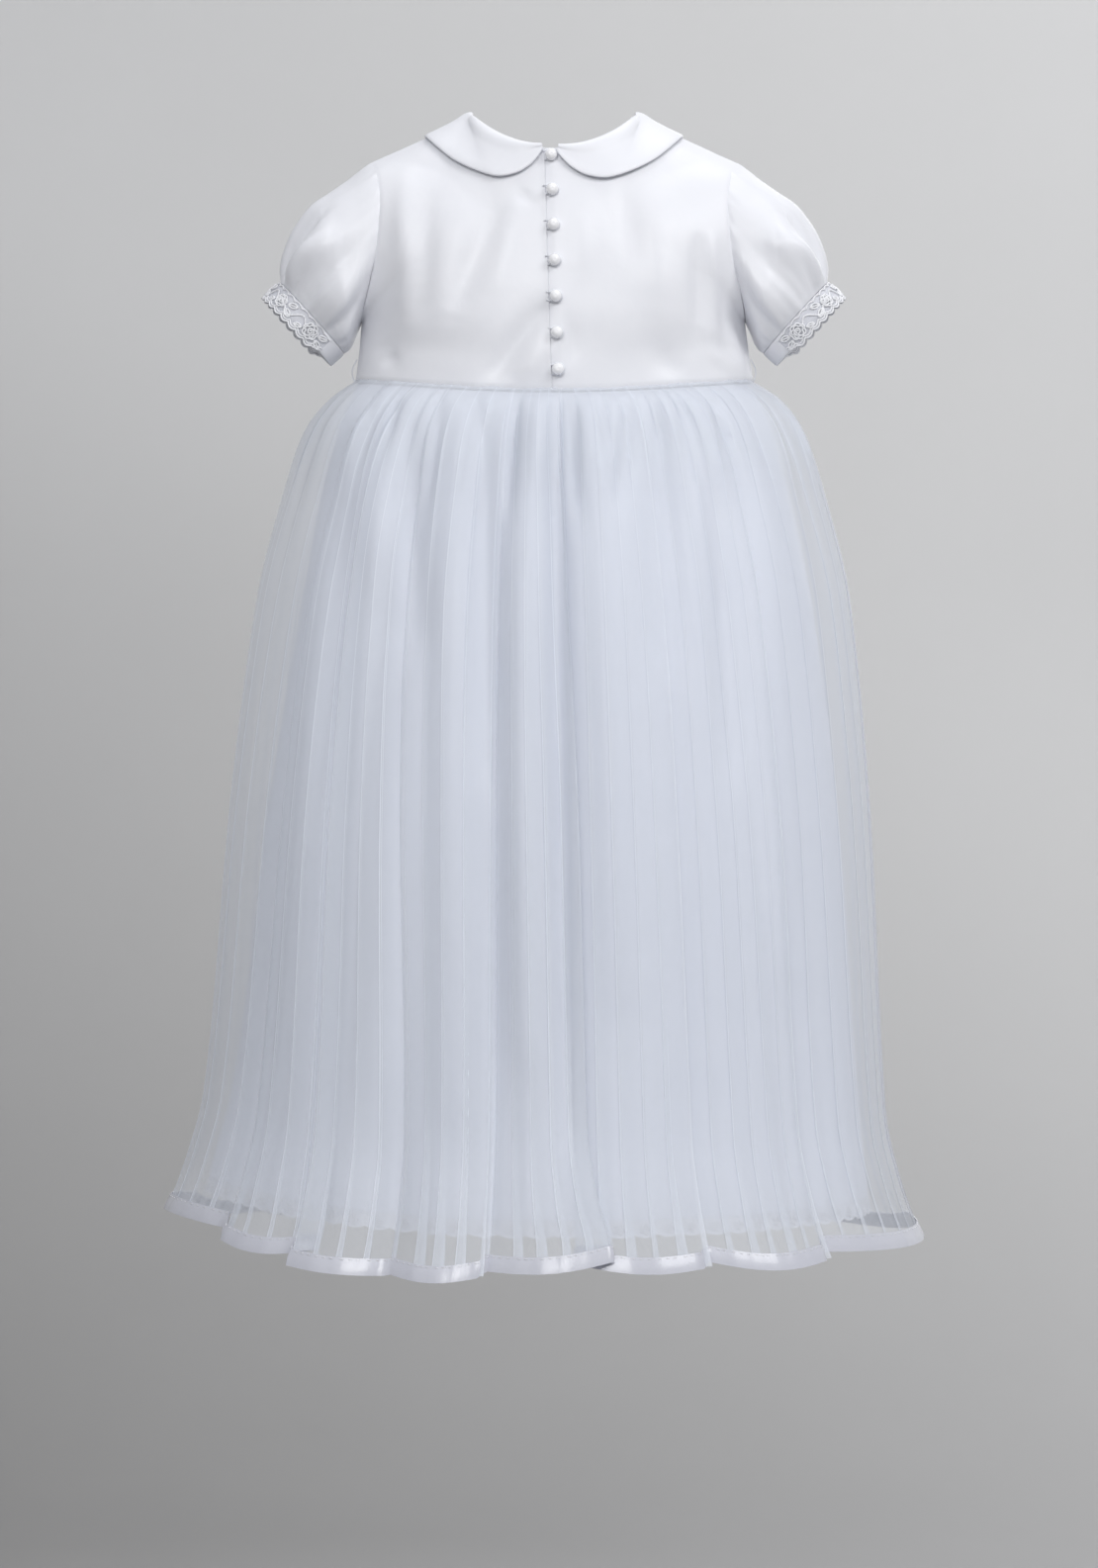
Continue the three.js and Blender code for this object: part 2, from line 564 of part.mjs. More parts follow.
function addButtons() {
  for (let i = 0; i < BUTTON.count; i++) {
    const z = BUTTON.topZ - BUTTON.spacing * i;
    const edge = closingX(z);
    const x = edge + BUTTON.fromEdge;
    const y = backYAt(x, z);
    const ball = new THREE.SphereGeometry(BUTTON.radius, 10, 7);
    ball.rotateX(Math.PI / 2);
    ball.translate(x, y - BUTTON.radius - SEAM_GAP, z);
    addPart(`button_${i + 1}`, ball, MATERIALS.pearl);
    addPart(`button_loop_${i + 1}`, loopGeometry(edge, x, y, z), MATERIALS.satin);
  }
}

// A cord loop from the left panel's edge round the foot of a button.
function loopGeometry(edge, x, y, z) {
  const points = [];
  const start = edge + LOOP.cordRadius + SEAM_GAP;
  const ends = LOOP.openHalfAngle;
  const height = LOOP.radius * Math.sin(ends * DEG);
  points.push(new THREE.Vector3(start, y - LOOP.lift, z + height));
  for (let degrees = 180 - ends; degrees >= ends - 180; degrees -= (360 - 2 * ends) / LOOP.steps) {
    const angle = degrees * DEG;
    points.push(new THREE.Vector3(x + LOOP.radius * Math.cos(angle), y - LOOP.lift, z + LOOP.radius * Math.sin(angle)));
  }
  points.push(new THREE.Vector3(start, y - LOOP.lift, z - height));
  return cordGeometry(points, LOOP.cordRadius, LOOP.sides, LOOP.steps + 2);
}

function addSashLoops() {
  const { topZ, bottomZ, stand, cordRadius, steps, sides } = SASH_LOOP;
  [["right", 1], ["left", -1]].forEach(([side, sign]) => {
    const points = Array.from({ length: steps + 1 }, (_, i) => {
      const share = i / steps;
      const z = lerp(topZ, bottomZ, share);
      const seam = lerp(ARMHOLE[0].across, WAIST.halfWidth, (ARMHOLE[0].z - z) / (ARMHOLE[0].z - WAIST.sideZ));
      const out = SEAM_GAP + cordRadius + stand * Math.sin(Math.PI * share);
      return new THREE.Vector3(sign * (seam + out), 0, z);
    });
    addPart(`sash_loop_${side}`, cordGeometry(points, cordRadius, sides, steps), MATERIALS.satin);
  });
}

// The hem's height within a large fold.
function hemZ(fold, share) {
  const { zStart, zMid, zEnd } = fold;
  return lerp(zStart, zEnd, share) + (zMid - (zStart + zEnd) / 2) * Math.sin(Math.PI * share);
}

// How far one large fold has run past the next one's start, in degrees, at a section.
function pastNext(fold, section) {
  return fold.past > 0 ? fold.past * section.lap - SHUT_GAP * (1 - section.lap) : fold.past;
}

// One ring of the organza skirt, fold by fold. Where a fold laps another, two more points
// round each of the turns between them.
function skirtRing(section) {
  const ring = [];
  const spread = THREE.MathUtils.smoothstep(section.drop, 0, 1);
  const put = (degrees, out, z) => {
    const point = ellipsePoint(degrees, section, out);
    ring.push(point.setZ(lerp(waistZ(degrees) - SEAM_GAP, z, section.drop)));
  };
  FOLDS.forEach((fold, i) => {
    const next = FOLDS[(i + 1) % FOLDS.length];
    const round = i + 1 === FOLDS.length ? 360 : 0;
    const from = lerp(fold.waist, fold.hem, spread);
    const nextFrom = lerp(next.waist, next.hem, spread) + round;
    const to = nextFrom + pastNext(fold, section);
    const pleatPoint = (share, ridge) => {
      const lean = lerp(fold.outStart, fold.outEnd, share) + FOLD_CROWN * Math.sin(Math.PI * share);
      put(lerp(from, to, share), section.fold * lean + (ridge * section.pleat) / 2, hemZ(fold, share));
    };
    const opens = i === 0 || i === BACK_FOLDS;
    for (let p = 0; p < fold.pleats; p++) {
      pleatPoint(p / fold.pleats, opens && p === 0 ? 0 : 1);
      pleatPoint((p + PLEAT_VALLEY) / fold.pleats, -1);
    }
    pleatPoint(1, 0);
    if (fold.past > 0) {
      const turn = FOLD_TURN * section.lap * Math.sign(next.outStart - fold.outEnd);
      const shift = (SHUT_GAP / 3) * (1 - section.lap);
      put(to + shift, section.fold * fold.outEnd + turn, hemZ(fold, 1));
      put(nextFrom - shift, section.fold * next.outStart - turn, hemZ(next, 0));
    }
  });
  return ring;
}

// How many of a skirt ring's points are the back's.
function backPointCount() {
  return FOLDS.slice(0, BACK_FOLDS).reduce((sum, fold) => sum + 2 * fold.pleats + (fold.past > 0 ? 3 : 1), 0);
}

function addSkirt() {
  const rings = SKIRT.map(skirtRing);
  const organza = splitRingWall(rings, ORGANZA, backPointCount());
  addPart("skirt_organza_back", organza.back, MATERIALS.organza);
  addPart("skirt_organza_front", organza.front, MATERIALS.organza);
  const [above, hem] = rings.slice(-2);
  const under = hem.map((p, i) => p.clone().lerp(above[i], -HEM_RIBBON.below));
  const ribbon = [above, hem, under];
  addPart("hem_ribbon", ringWall(ribbon, RIBBON, HEM_RIBBON.off + RIBBON), MATERIALS.ribbon);
}

// The height of the lining's hem, which rises at the sides.
function liningHemZ(degrees) {
  const away = Math.cos(degrees * DEG);
  const sideZ = Math.sin(degrees * DEG) < 0 ? LINING_HEM.leftZ : LINING_HEM.rightZ;
  return lerp(sideZ, away > 0 ? LINING_HEM.backZ : LINING_HEM.frontZ, away * away);
}

// The angles of the lining's ring, from its left side seam: the back's and then the front's.
function liningAngles() {
  const { halfSpans, seamDegrees } = LINING_FOLDS;
  return [-90, 90].flatMap((from) =>
    Array.from({ length: halfSpans + 1 }, (_, i) => from + lerp(seamDegrees, 180 - seamDegrees, i / halfSpans)),
  );
}

const evenAngles = (count) => Array.from({ length: count }, (_, i) => (360 * i) / count);

// One ring of the lining, in soft waves. grown and lowered move it for the lace.
function liningRing(section, angles, grown = 0, lowered = LINING_LOWERED) {
  return angles.map((degrees) => {
    const wave = LINING_FOLDS.depth * section.fold * Math.cos(LINING_FOLDS.count * degrees * DEG);
    const point = ellipsePoint(degrees, section, wave + grown);
    point.z = lerp(waistZ(degrees), liningHemZ(degrees), section.drop) - lowered;
    return point;
  });
}

function addLining() {
  const rings = LINING_SKIRT.map((section) => liningRing(section, liningAngles()));
  const lining = splitRingWall(rings, LINING, LINING_FOLDS.halfSpans + 1);
  addPart("skirt_lining_back", lining.back, MATERIALS.lining);
  addPart("skirt_lining_front", lining.front, MATERIALS.lining);
  const { height, flare, points, scallop } = LINING_LACE;
  const hem = LINING_SKIRT.at(-1);
  const angles = evenAngles(points);
  const top = liningRing(hem, angles, 0, LINING_LOWERED + SEAM_GAP);
  const bottom = liningRing(hem, angles, flare, LINING_LOWERED + SEAM_GAP + height);
  bottom.forEach((p, i) => (p.z += i % 2 ? scallop : -scallop));
  addPart("lining_lace", ringWall([top, bottom], LACE), MATERIALS.lace);
}

addBodice();
addCollar();
addSleeves();
addButtons();
addSashLoops();
addSkirt();
addLining();

export default gown;
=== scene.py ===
"""A christening gown's cloth, trimming, buttons and light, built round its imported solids.

Sizes in the classes are millimetres, and the meshes are metres. +Z is up, the buttoned back
faces -Y and the origin is in the middle of the neck opening. Angles round the gown start at the
middle of its back and grow towards +X.
"""

import logging
import math
import random
from dataclasses import dataclass, field
from enum import Enum
from typing import Callable, Sequence

import bmesh
import bpy
from mathutils import Matrix, Vector, noise


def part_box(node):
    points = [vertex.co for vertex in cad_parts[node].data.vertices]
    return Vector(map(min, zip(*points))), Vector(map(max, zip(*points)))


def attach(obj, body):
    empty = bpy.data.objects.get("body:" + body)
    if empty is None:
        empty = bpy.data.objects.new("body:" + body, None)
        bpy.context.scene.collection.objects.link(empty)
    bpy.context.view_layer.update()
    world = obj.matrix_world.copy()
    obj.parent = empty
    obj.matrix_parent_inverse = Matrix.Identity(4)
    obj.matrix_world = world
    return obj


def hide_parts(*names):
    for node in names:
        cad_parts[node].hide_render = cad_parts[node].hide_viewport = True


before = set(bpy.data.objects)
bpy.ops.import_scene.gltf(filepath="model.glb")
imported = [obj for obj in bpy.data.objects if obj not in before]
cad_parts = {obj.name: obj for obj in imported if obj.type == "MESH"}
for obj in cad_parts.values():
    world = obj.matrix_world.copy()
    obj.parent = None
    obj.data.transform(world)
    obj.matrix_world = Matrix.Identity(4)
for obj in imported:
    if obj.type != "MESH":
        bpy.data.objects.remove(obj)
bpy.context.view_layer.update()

LOG = logging.getLogger("gown")
MM = 0.001
BODY = "root"
BODY_MIDDLE = Vector((0, 0, -90))

Ring = list[Vector]
Colour = tuple[float, float, float]
PleatColumn = tuple[float, float, float, float]


def mix(start: float, end: float, share: float) -> float:
    """Returns the value at a share of the way from start to end."""
    return start + (end - start) * share


def ease(value: float, low: float = 0.0, high: float = 1.0) -> float:
    """Returns 0 below low and 1 above high, with a smooth rise between them."""
    share = min(max((value - low) / (high - low), 0.0), 1.0)
    return share * share * (3.0 - 2.0 * share)


def hump(value: float, middle: float, width: float) -> float:
    """Returns a soft hump of height 1 round the middle."""
    return math.exp(-(((value - middle) / width) ** 2))


def spaced(count: int, start: float = 0.0, end: float = 1.0) -> list[float]:
    """Returns evenly spaced values, both ends among them."""
    return [mix(start, end, i / (count - 1)) for i in range(count)]


@dataclass(frozen=True)
class Profile:
    """Values that change smoothly along a piece, given at a few places along it."""

    names: tuple[str, ...]
    rows: tuple[tuple[float, ...], ...]

    def _slope(self, row: int, column: int) -> float:
        """Works out how steep a column is at a row.

        Args:
            row: the row's number.
            column: the column's number.

        Returns:
            The slope, which is 0 where the values turn.
        """
        rows = self.rows
        first, last = max(row - 1, 0), min(row + 1, len(rows) - 1)
        steps = [
            (rows[k + 1][column] - rows[k][column]) / (rows[k + 1][0] - rows[k][0])
            for k in range(first, last)
        ]
        if len(steps) == 1:
            return steps[0]
        before, after = steps
        return 0.0 if before * after <= 0 else 2 * before * after / (before + after)

    def at(self, place: float) -> dict[str, float]:
        """Reads the values at a place.

        Args:
            place: where along the piece, in the units of the rows' first column.

        Returns:
            Each name's value there.
        """
        rows = self.rows
        index = 0
        while index < len(rows) - 2 and rows[index + 1][0] <= place:
            index += 1
        span = rows[index + 1][0] - rows[index][0]
        t = (place - rows[index][0]) / span
        values = {}
        for column, name in enumerate(self.names, start=1):
            low, high = rows[index][column], rows[index + 1][column]
            rise = self._slope(index, column) * span
            fall = self._slope(index + 1, column) * span
            cubic = (2 * low - 2 * high + rise + fall) * t**3
            square = (3 * high - 3 * low - 2 * rise - fall) * t**2
            values[name] = cubic + square + rise * t + low
        return values


@dataclass(frozen=True)
class Crease:
    """A soft fold in a panel. height is how far it stands out, below 0 for a hollow."""

    start: tuple[float, float]
    end: tuple[float, float]
    width: float
    height: float

    def lift(self, x: float, z: float) -> float:
        """Gives the fold's height at a place.

        Args:
            x: the place across, in the same units as start and end.
            z: the place up.

        Returns:
            How far the cloth stands out there.
        """
        along_x, along_z = self.end[0] - self.start[0], self.end[1] - self.start[1]
        length = math.hypot(along_x, along_z)
        share = ((x - self.start[0]) * along_x + (z - self.start[1]) * along_z) / length**2
        aside = ((x - self.start[0]) * along_z - (z - self.start[1]) * along_x) / length
        beyond = max(-share, share - 1, 0.0) * length
        fade = 0.35 + 0.65 * math.sin(math.pi * min(max(share, 0.0), 1.0)) ** 0.7
        return self.height * fade * math.exp(-(aside**2 + beyond**2) / self.width**2)


class Half(Enum):
    """The bodice's two halves, by the way they face."""

    BACK = -1
    FRONT = 1


class Side(Enum):
    """The wearer's sides, by their direction along X."""

    LEFT = -1
    RIGHT = 1

    @property
    def word(self) -> str:
        """Returns the side's name as the nodes have it."""
        return self.name.lower()


def mirrored(point: Vector, side: Side = Side.LEFT) -> Vector:
    """Returns the point on the given side of the body, from one on the wearer's right."""
    return Vector((point.x * side.value, point.y, point.z))


def ellipse_point(degrees: float, size: dict[str, float], out: float = 0.0) -> Vector:
    """Finds a point round an ellipse that has its own half size on each side.

    Args:
        degrees: the angle round the gown.
        size: the half sizes left, right, back and front.
        out: how far outside the ellipse.

    Returns:
        The point, at height 0.
    """
    across, away = math.sin(math.radians(degrees)), math.cos(math.radians(degrees))
    half_width = size["left"] if across < 0 else size["right"]
    half_depth = size["back"] if away > 0 else size["front"]
    normal = Vector((across / half_width, -away / half_depth, 0)).normalized()
    return Vector((half_width * across, -half_depth * away, 0)) + out * normal


def offset_ring(ring: Ring, distance: float) -> Ring:
    """Moves a closed level ring outwards.

    Args:
        ring: its points, the first one repeated at the end.
        distance: how far they move, square to the ring.

    Returns:
        The moved points.
    """
    count = len(ring) - 1
    moved = []
    for i in range(count):
        before, point, after = ring[(i - 1) % count], ring[i], ring[(i + 1) % count]
        first = Vector((point.y - before.y, before.x - point.x, 0)).normalized()
        second = Vector((after.y - point.y, point.x - after.x, 0)).normalized()
        middle = (first + second).normalized()
        moved.append(point + middle * distance / max(middle.dot(second), 0.6))
    return moved + [moved[0].copy()]


@dataclass
class Cloth:
    """A woven piece: rows of points, from which a grid of cloth is made."""

    name: str
    rows: list[Ring]
    closed: bool = False
    woven: tuple[float, float] = (200.0, 200.0)
    marks: dict[str, list[list[float]]] = field(default_factory=dict)
    inside: Callable[[Vector], Vector] = lambda point: Vector((0, 0, point.z))
    crisp: bool = False
    even_row: int = -1

    def _column_shares(self) -> list[float]:
        """Measures how far along the cloth each column is, on one row.

        Returns:
            Each column's share of the way.
        """
        row = self.rows[self.even_row]
        walked = [0.0]
        for before, after in zip(row, row[1:]):
            walked.append(walked[-1] + (after - before).length)
        return [length / walked[-1] for length in walked]

    def make(self) -> bpy.types.Object:
        """Makes the piece as a grid whose faces point outwards.

        Returns:
            Its object, with a UV map in metres of flat cloth.
        """
        bm = bmesh.new()
        uv = bm.loops.layers.uv.new("UVMap")
        across, down = len(self.rows[0]) - 1, len(self.rows) - 1
        bmesh.ops.create_grid(bm, x_segments=across, y_segments=down, size=0.5, calc_uvs=True)
        layers = {name: bm.verts.layers.float.new(name) for name in self.marks}
        shares = self._column_shares()
        for face in bm.faces:
            for loop in face.loops:
                flat = loop[uv].uv
                share = shares[round(flat.x * across)]
                loop[uv].uv = (share * self.woven[0] * MM, flat.y * self.woven[1] * MM)
        for vert in bm.verts:
            column = round((vert.co.x + 0.5) * across)
            row = round((vert.co.y + 0.5) * down)
            for name, layer in layers.items():
                vert[layer] = self.marks[name][row][column]
            vert.co = self.rows[row][column] * MM
        if self.closed:
            bmesh.ops.remove_doubles(bm, verts=bm.verts, dist=1e-7)
        bmesh.ops.recalc_face_normals(bm, faces=bm.faces)
        facing = 0.0
        for face in bm.faces:
            centre = face.calc_center_median()
            facing += face.normal.dot(centre - self.inside(centre / MM) * MM) * face.calc_area()
        if facing < 0:
            bmesh.ops.reverse_faces(bm, faces=bm.faces)
        piece = mesh_object(self.name, bm)
        if self.crisp:
            piece.data.set_sharp_from_angle(angle=math.radians(60))
        return piece


def mesh_object(name: str, bm: bmesh.types.BMesh) -> bpy.types.Object:
    """Turns a bmesh into a smooth-shaded object of the scene.

    Args:
        name: the piece's name.
        bm: its bmesh, which is freed.

    Returns:
        The new object.
    """
    mesh = bpy.data.meshes.new(name)
    bm.to_mesh(mesh)
    bm.free()
    mesh.shade_smooth()
    piece = bpy.data.objects.new(name, mesh)
    bpy.context.scene.collection.objects.link(piece)
    return piece


def cord_object(
    name: str, paths: Sequence[Ring], radius: float, closed: bool = False
) -> bpy.types.Object:
    """Makes round cords along paths, as one mesh.

    Args:
        name: the piece's name.
        paths: each cord's points.
        radius: the cords' radius.
        closed: whether each path runs back to its start.

    Returns:
        The new object.
    """
    curve = bpy.data.curves.new(name, "CURVE")
    curve.dimensions = "3D"
    curve.bevel_depth = radius * MM
    curve.bevel_resolution = 1
    curve.use_fill_caps = not closed
    for path in paths:
        spline = curve.splines.new("POLY")
        spline.points.add(len(path) - 1)
        spline.use_cyclic_u = closed
        for point, place in zip(spline.points, path):
            point.co = (*(place * MM), 1.0)
    holder = bpy.data.objects.new(name + "_path", curve)
    bpy.context.scene.collection.objects.link(holder)
    made = holder.evaluated_get(bpy.context.evaluated_depsgraph_get())
    bm = bmesh.new()
    bm.from_mesh(bpy.data.meshes.new_from_object(made))
    bpy.data.objects.remove(holder)
    bmesh.ops.remove_doubles(bm, verts=bm.verts, dist=1e-7)
    bmesh.ops.recalc_face_normals(bm, faces=bm.faces)
    return mesh_object(name, bm)


def thicken(piece: bpy.types.Object, thickness: float, rolled: bool = False) -> None:
    """Gives a piece of cloth its thickness, with cut edges or rolled ones.

    Args:
        piece: the cloth.
        thickness: in millimetres.
        rolled: whether its edges are round and the thickness is added on its outer face.
    """
    wall = piece.modifiers.new("thickness", "SOLIDIFY")
    wall.thickness = thickness * MM
    wall.offset = 1.0 if rolled else -1.0
    if rolled:
        roll = piece.modifiers.new("rounded_edge", "SUBSURF")
        roll.levels = roll.render_levels = 1
        return
    made = bpy.data.meshes.new_from_object(piece.evaluated_get(bpy.context.evaluated_depsgraph_get()))
    piece.modifiers.clear()
    piece.data = made
    made.set_sharp_from_angle(angle=math.radians(50))


def fit(piece: bpy.types.Object, finish: "Finish", *nodes: str) -> bpy.types.Object:
    """Dresses a piece, and lets it stand for its solids on the gown's body.

    Args:
        piece: the new piece.
        finish: what it is made of.
        nodes: the solids that it stands for.

    Returns:
        The piece.
    """
    piece.data.materials.clear()
    piece.data.materials.append(finish.material())
    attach(piece, BODY)
    if nodes:
        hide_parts(*nodes)
    LOG.info("%s: %d faces", piece.name, len(piece.data.polygons))
    return piece


class NodeTree:
    """A short way to place and join shader nodes in a material or a node group."""

    def __init__(self, tree: bpy.types.NodeTree) -> None:
        """Starts on a tree."""
        self.tree = tree

    def add(self, kind: str, **values: object) -> bpy.types.Node:
        """Places a node.

        Args:
            kind: its type.
            values: its own settings.

        Returns:
            The node.
        """
        node = self.tree.nodes.new(kind)
        for name, value in values.items():
            setattr(node, name, value)
        return node

    def join(self, source: bpy.types.NodeSocket, target: bpy.types.NodeSocket) -> None:
        """Joins an output to an input."""
        self.tree.links.new(source, target)

    def math(self, operation: str, *inputs: object) -> bpy.types.NodeSocket:
        """Places a Math node.

        Args:
            operation: what it does.
            inputs: numbers or sockets, in order.

        Returns:
            Its output.
        """
        node = self.add("ShaderNodeMath", operation=operation)
        for slot, value in zip(node.inputs, inputs):
            if isinstance(value, (int, float)):
                slot.default_value = value
            else:
                self.join(value, slot)
        return node.outputs[0]

    def noise(self, place: bpy.types.NodeSocket, scale: float, detail: float) -> bpy.types.NodeSocket:
        """Places a Noise Texture.

        Args:
            place: the coordinates.
            scale: how many lumps to a metre.
            detail: how fine its grain is.

        Returns:
            Its value output.
        """
        node = self.add("ShaderNodeTexNoise")
        self.join(place, node.inputs["Vector"])
        node.inputs["Scale"].default_value = scale
        node.inputs["Detail"].default_value = detail
        return node.outputs[0]


def weave_group() -> bpy.types.NodeTree:
    """Makes the node group that weaves threads over a cloth's own UV map, once.

    Returns:
        The group: Height is the threads' relief and Thread is 0 in the holes between them.
    """
    found = bpy.data.node_groups.get("woven_threads")
    if found:
        return found
    group = bpy.data.node_groups.new("woven_threads", "ShaderNodeTree")
    sockets = (("Cloth", "INPUT", "NodeSocketVector"), ("Warp", "INPUT", "NodeSocketFloat"))
    sockets += (("Weft", "INPUT", "NodeSocketFloat"), ("Height", "OUTPUT", "NodeSocketFloat"))
    sockets += (("Thread", "OUTPUT", "NodeSocketFloat"),)
    for name, way, kind in sockets:
        group.interface.new_socket(name, in_out=way, socket_type=kind)
    tree = NodeTree(group)
    given = tree.add("NodeGroupInput")
    split = tree.add("ShaderNodeSeparateXYZ")
    tree.join(given.outputs["Cloth"], split.inputs[0])
    threads = []
    for axis, count in ((0, "Warp"), (1, "Weft")):
        turns = tree.math("MULTIPLY", split.outputs[axis], given.outputs[count])
        wave = tree.math("SINE", tree.math("MULTIPLY", turns, math.pi))
        threads.append(tree.math("ABSOLUTE", wave))
    result = tree.add("NodeGroupOutput")
    tree.join(tree.math("MULTIPLY", tree.math("ADD", *threads), 0.5), result.inputs["Height"])
    higher = tree.math("MAXIMUM", *threads)
    filled = tree.math("SMOOTH_MIN", tree.math("MULTIPLY", higher, 1.6), 1.0, 0.2)
    tree.join(filled, result.inputs["Thread"])
    return group


def tone_group() -> bpy.types.NodeTree:
    """Makes the node group for the soft unevenness of white cloth, once.

    Returns:
        The group: Shade is a colour to use and Ripple is a slow relief.
    """
    found = bpy.data.node_groups.get("cloth_tone")
    if found:
        return found
    group = bpy.data.node_groups.new("cloth_tone", "ShaderNodeTree")
    sockets = (("Place", "INPUT", "NodeSocketVector"), ("Light", "INPUT", "NodeSocketColor"))
    sockets += (("Deep", "INPUT", "NodeSocketColor"), ("Shade", "OUTPUT", "NodeSocketColor"))
    sockets += (("Ripple", "OUTPUT", "NodeSocketFloat"),)
    for name, way, kind in sockets:
        group.interface.new_socket(name, in_out=way, socket_type=kind)
    tree = NodeTree(group)
    given = tree.add("NodeGroupInput")
    slow = tree.noise(given.outputs["Place"], 22.0, 3.0)
    fine = tree.noise(given.outputs["Place"], 160.0, 4.0)
    share = tree.math("ADD", tree.math("MULTIPLY", slow, 0.75), tree.math("MULTIPLY", fine, 0.25))
    blend = tree.add("ShaderNodeMix", data_type="RGBA")
    tree.join(share, blend.inputs["Factor"])
    tree.join(given.outputs["Deep"], blend.inputs["A"])
    tree.join(given.outputs["Light"], blend.inputs["B"])
    result = tree.add("NodeGroupOutput")
    tree.join(blend.outputs["Result"], result.inputs["Shade"])
    tree.join(share, result.inputs["Ripple"])
    return group


@dataclass(frozen=True)
class Finish:
    """A cloth, cord or pearl: its colour, gloss, threads and how much it lets through."""

    name: str
    slot: str
    light: Colour
    deep: Colour
    roughness: float
    sheen: float = 0.0
    coat: float = 0.0
    coat_roughness: float = 0.3
    specular: float = 0.5
    threads: tuple[float, float] = (3600.0, 3600.0)
    relief: float = 0.02
    ripple: float = 0.0
    alpha: float = 1.0
    holes: float = 0.0
    crease_alpha: float = 0.0

    def material(self) -> bpy.types.Material:
        """Makes the finish's material, once.

        Returns:
            The material.
        """
        found = bpy.data.materials.get(self.name)
        if found:
            return found
        made = bpy.data.materials.new(self.name)
        made.use_nodes = True
        tree = NodeTree(made.node_tree)
        shader = made.node_tree.nodes["Principled BSDF"]
        self._set(shader)
        coordinates = tree.add("ShaderNodeTexCoord")
        tone = tree.add("ShaderNodeGroup", node_tree=tone_group())
        tree.join(coordinates.outputs["Object"], tone.inputs["Place"])
        tone.inputs["Light"].default_value = (*self.light, 1.0)
        tone.inputs["Deep"].default_value = (*self.deep, 1.0)
        tree.join(tone.outputs["Shade"], shader.inputs["Base Color"])
        weave = tree.add("ShaderNodeGroup", node_tree=weave_group())
        tree.join(coordinates.outputs["UV"], weave.inputs["Cloth"])
        weave.inputs["Warp"].default_value, weave.inputs["Weft"].default_value = self.threads
        self._emboss(tree, tone, weave, shader)
        if self.alpha < 1.0 or self.holes:
            self._open(tree, weave, shader)
        return made

    def _set(self, shader: bpy.types.Node) -> None:
        """Sets the numbers that are the same all over."""
        shader.inputs["Roughness"].default_value = self.roughness
        shader.inputs["Sheen Weight"].default_value = self.sheen
        shader.inputs["Sheen Roughness"].default_value = 0.4
        shader.inputs["Coat Weight"].default_value = self.coat
        shader.inputs["Coat Roughness"].default_value = self.coat_roughness
        shader.inputs["Specular IOR Level"].default_value = self.specular

    def _emboss(
        self, tree: NodeTree, tone: bpy.types.Node, weave: bpy.types.Node, shader: bpy.types.Node
    ) -> None:
        """Adds the relief of the threads and the slow ripple of the cloth.

        Args:
            tree: the material's tree.
            tone: the tone group's node.
            weave: the weave group's node.
            shader: the material's shader.
        """
        ripple = tree.add("ShaderNodeBump")
        ripple.inputs["Strength"].default_value = 1.0
        ripple.inputs["Distance"].default_value = self.ripple * MM
        tree.join(tone.outputs["Ripple"], ripple.inputs["Height"])
        threads = tree.add("ShaderNodeBump")
        threads.inputs["Strength"].default_value = 0.6
        threads.inputs["Distance"].default_value = self.relief * MM
        tree.join(weave.outputs["Height"], threads.inputs["Height"])
        tree.join(ripple.outputs["Normal"], threads.inputs["Normal"])
        tree.join(threads.outputs["Normal"], shader.inputs["Normal"])

    def _open(self, tree: NodeTree, weave: bpy.types.Node, shader: bpy.types.Node) -> None:
        """Lets light through between the threads, less so along pressed edges.

        Args:
            tree: the material's tree.
            weave: the weave group's node.
            shader: the material's shader.
        """
        solid = tree.math("MULTIPLY", tree.math("SUBTRACT", weave.outputs["Thread"], 1.0), self.holes)
        alpha = tree.math("ADD", solid, self.alpha)
        if self.crease_alpha:
            edge = tree.add("ShaderNodeAttribute", attribute_name="pressed_edge")
            pressed = tree.math("MULTIPLY", edge.outputs["Fac"], self.crease_alpha)
            alpha = tree.math("ADD", alpha, pressed)
        capped = tree.math("MINIMUM", tree.math("MAXIMUM", alpha, 0.02), 1.0)
        tree.join(capped, shader.inputs["Alpha"])


SATIN = Finish(
    "duchess_satin", "satin", (0.86, 0.865, 0.90), (0.80, 0.81, 0.86), 0.44,
    sheen=0.12, coat=0.12, coat_roughness=0.34, threads=(5200.0, 3000.0), relief=0.008, ripple=0.35,
)
LINING_SATIN = Finish(
    "lining_cloth", "lining_satin", (0.85, 0.875, 0.95), (0.80, 0.83, 0.915), 0.46,
    sheen=0.1, threads=(4200.0, 3000.0), relief=0.005, ripple=0.4,
)
ORGANZA = Finish(
    "sheer_organza", "organza", (0.86, 0.89, 0.955), (0.80, 0.84, 0.915), 0.48,
    sheen=0.25, threads=(3400.0, 3400.0), relief=0.0, alpha=0.35, holes=0.0, crease_alpha=0.4,
)
RIBBON_SATIN = Finish(
    "ribbon_satin", "ribbon", (0.66, 0.67, 0.735), (0.55, 0.56, 0.63), 0.24,
    coat=0.5, coat_roughness=0.16, threads=(1200.0, 5200.0), relief=0.03, ripple=0.3,
)
LACE_THREAD = Finish(
    "lace_thread", "lace", (0.93, 0.935, 0.96), (0.88, 0.885, 0.92), 0.42,
    sheen=0.2, threads=(1800.0, 1800.0), relief=0.05,
)
LACE_NET = Finish(
    "lace_net", "lace", (0.80, 0.81, 0.86), (0.72, 0.73, 0.79), 0.75,
    threads=(620.0, 620.0), relief=0.05, alpha=0.55, holes=0.5,
)
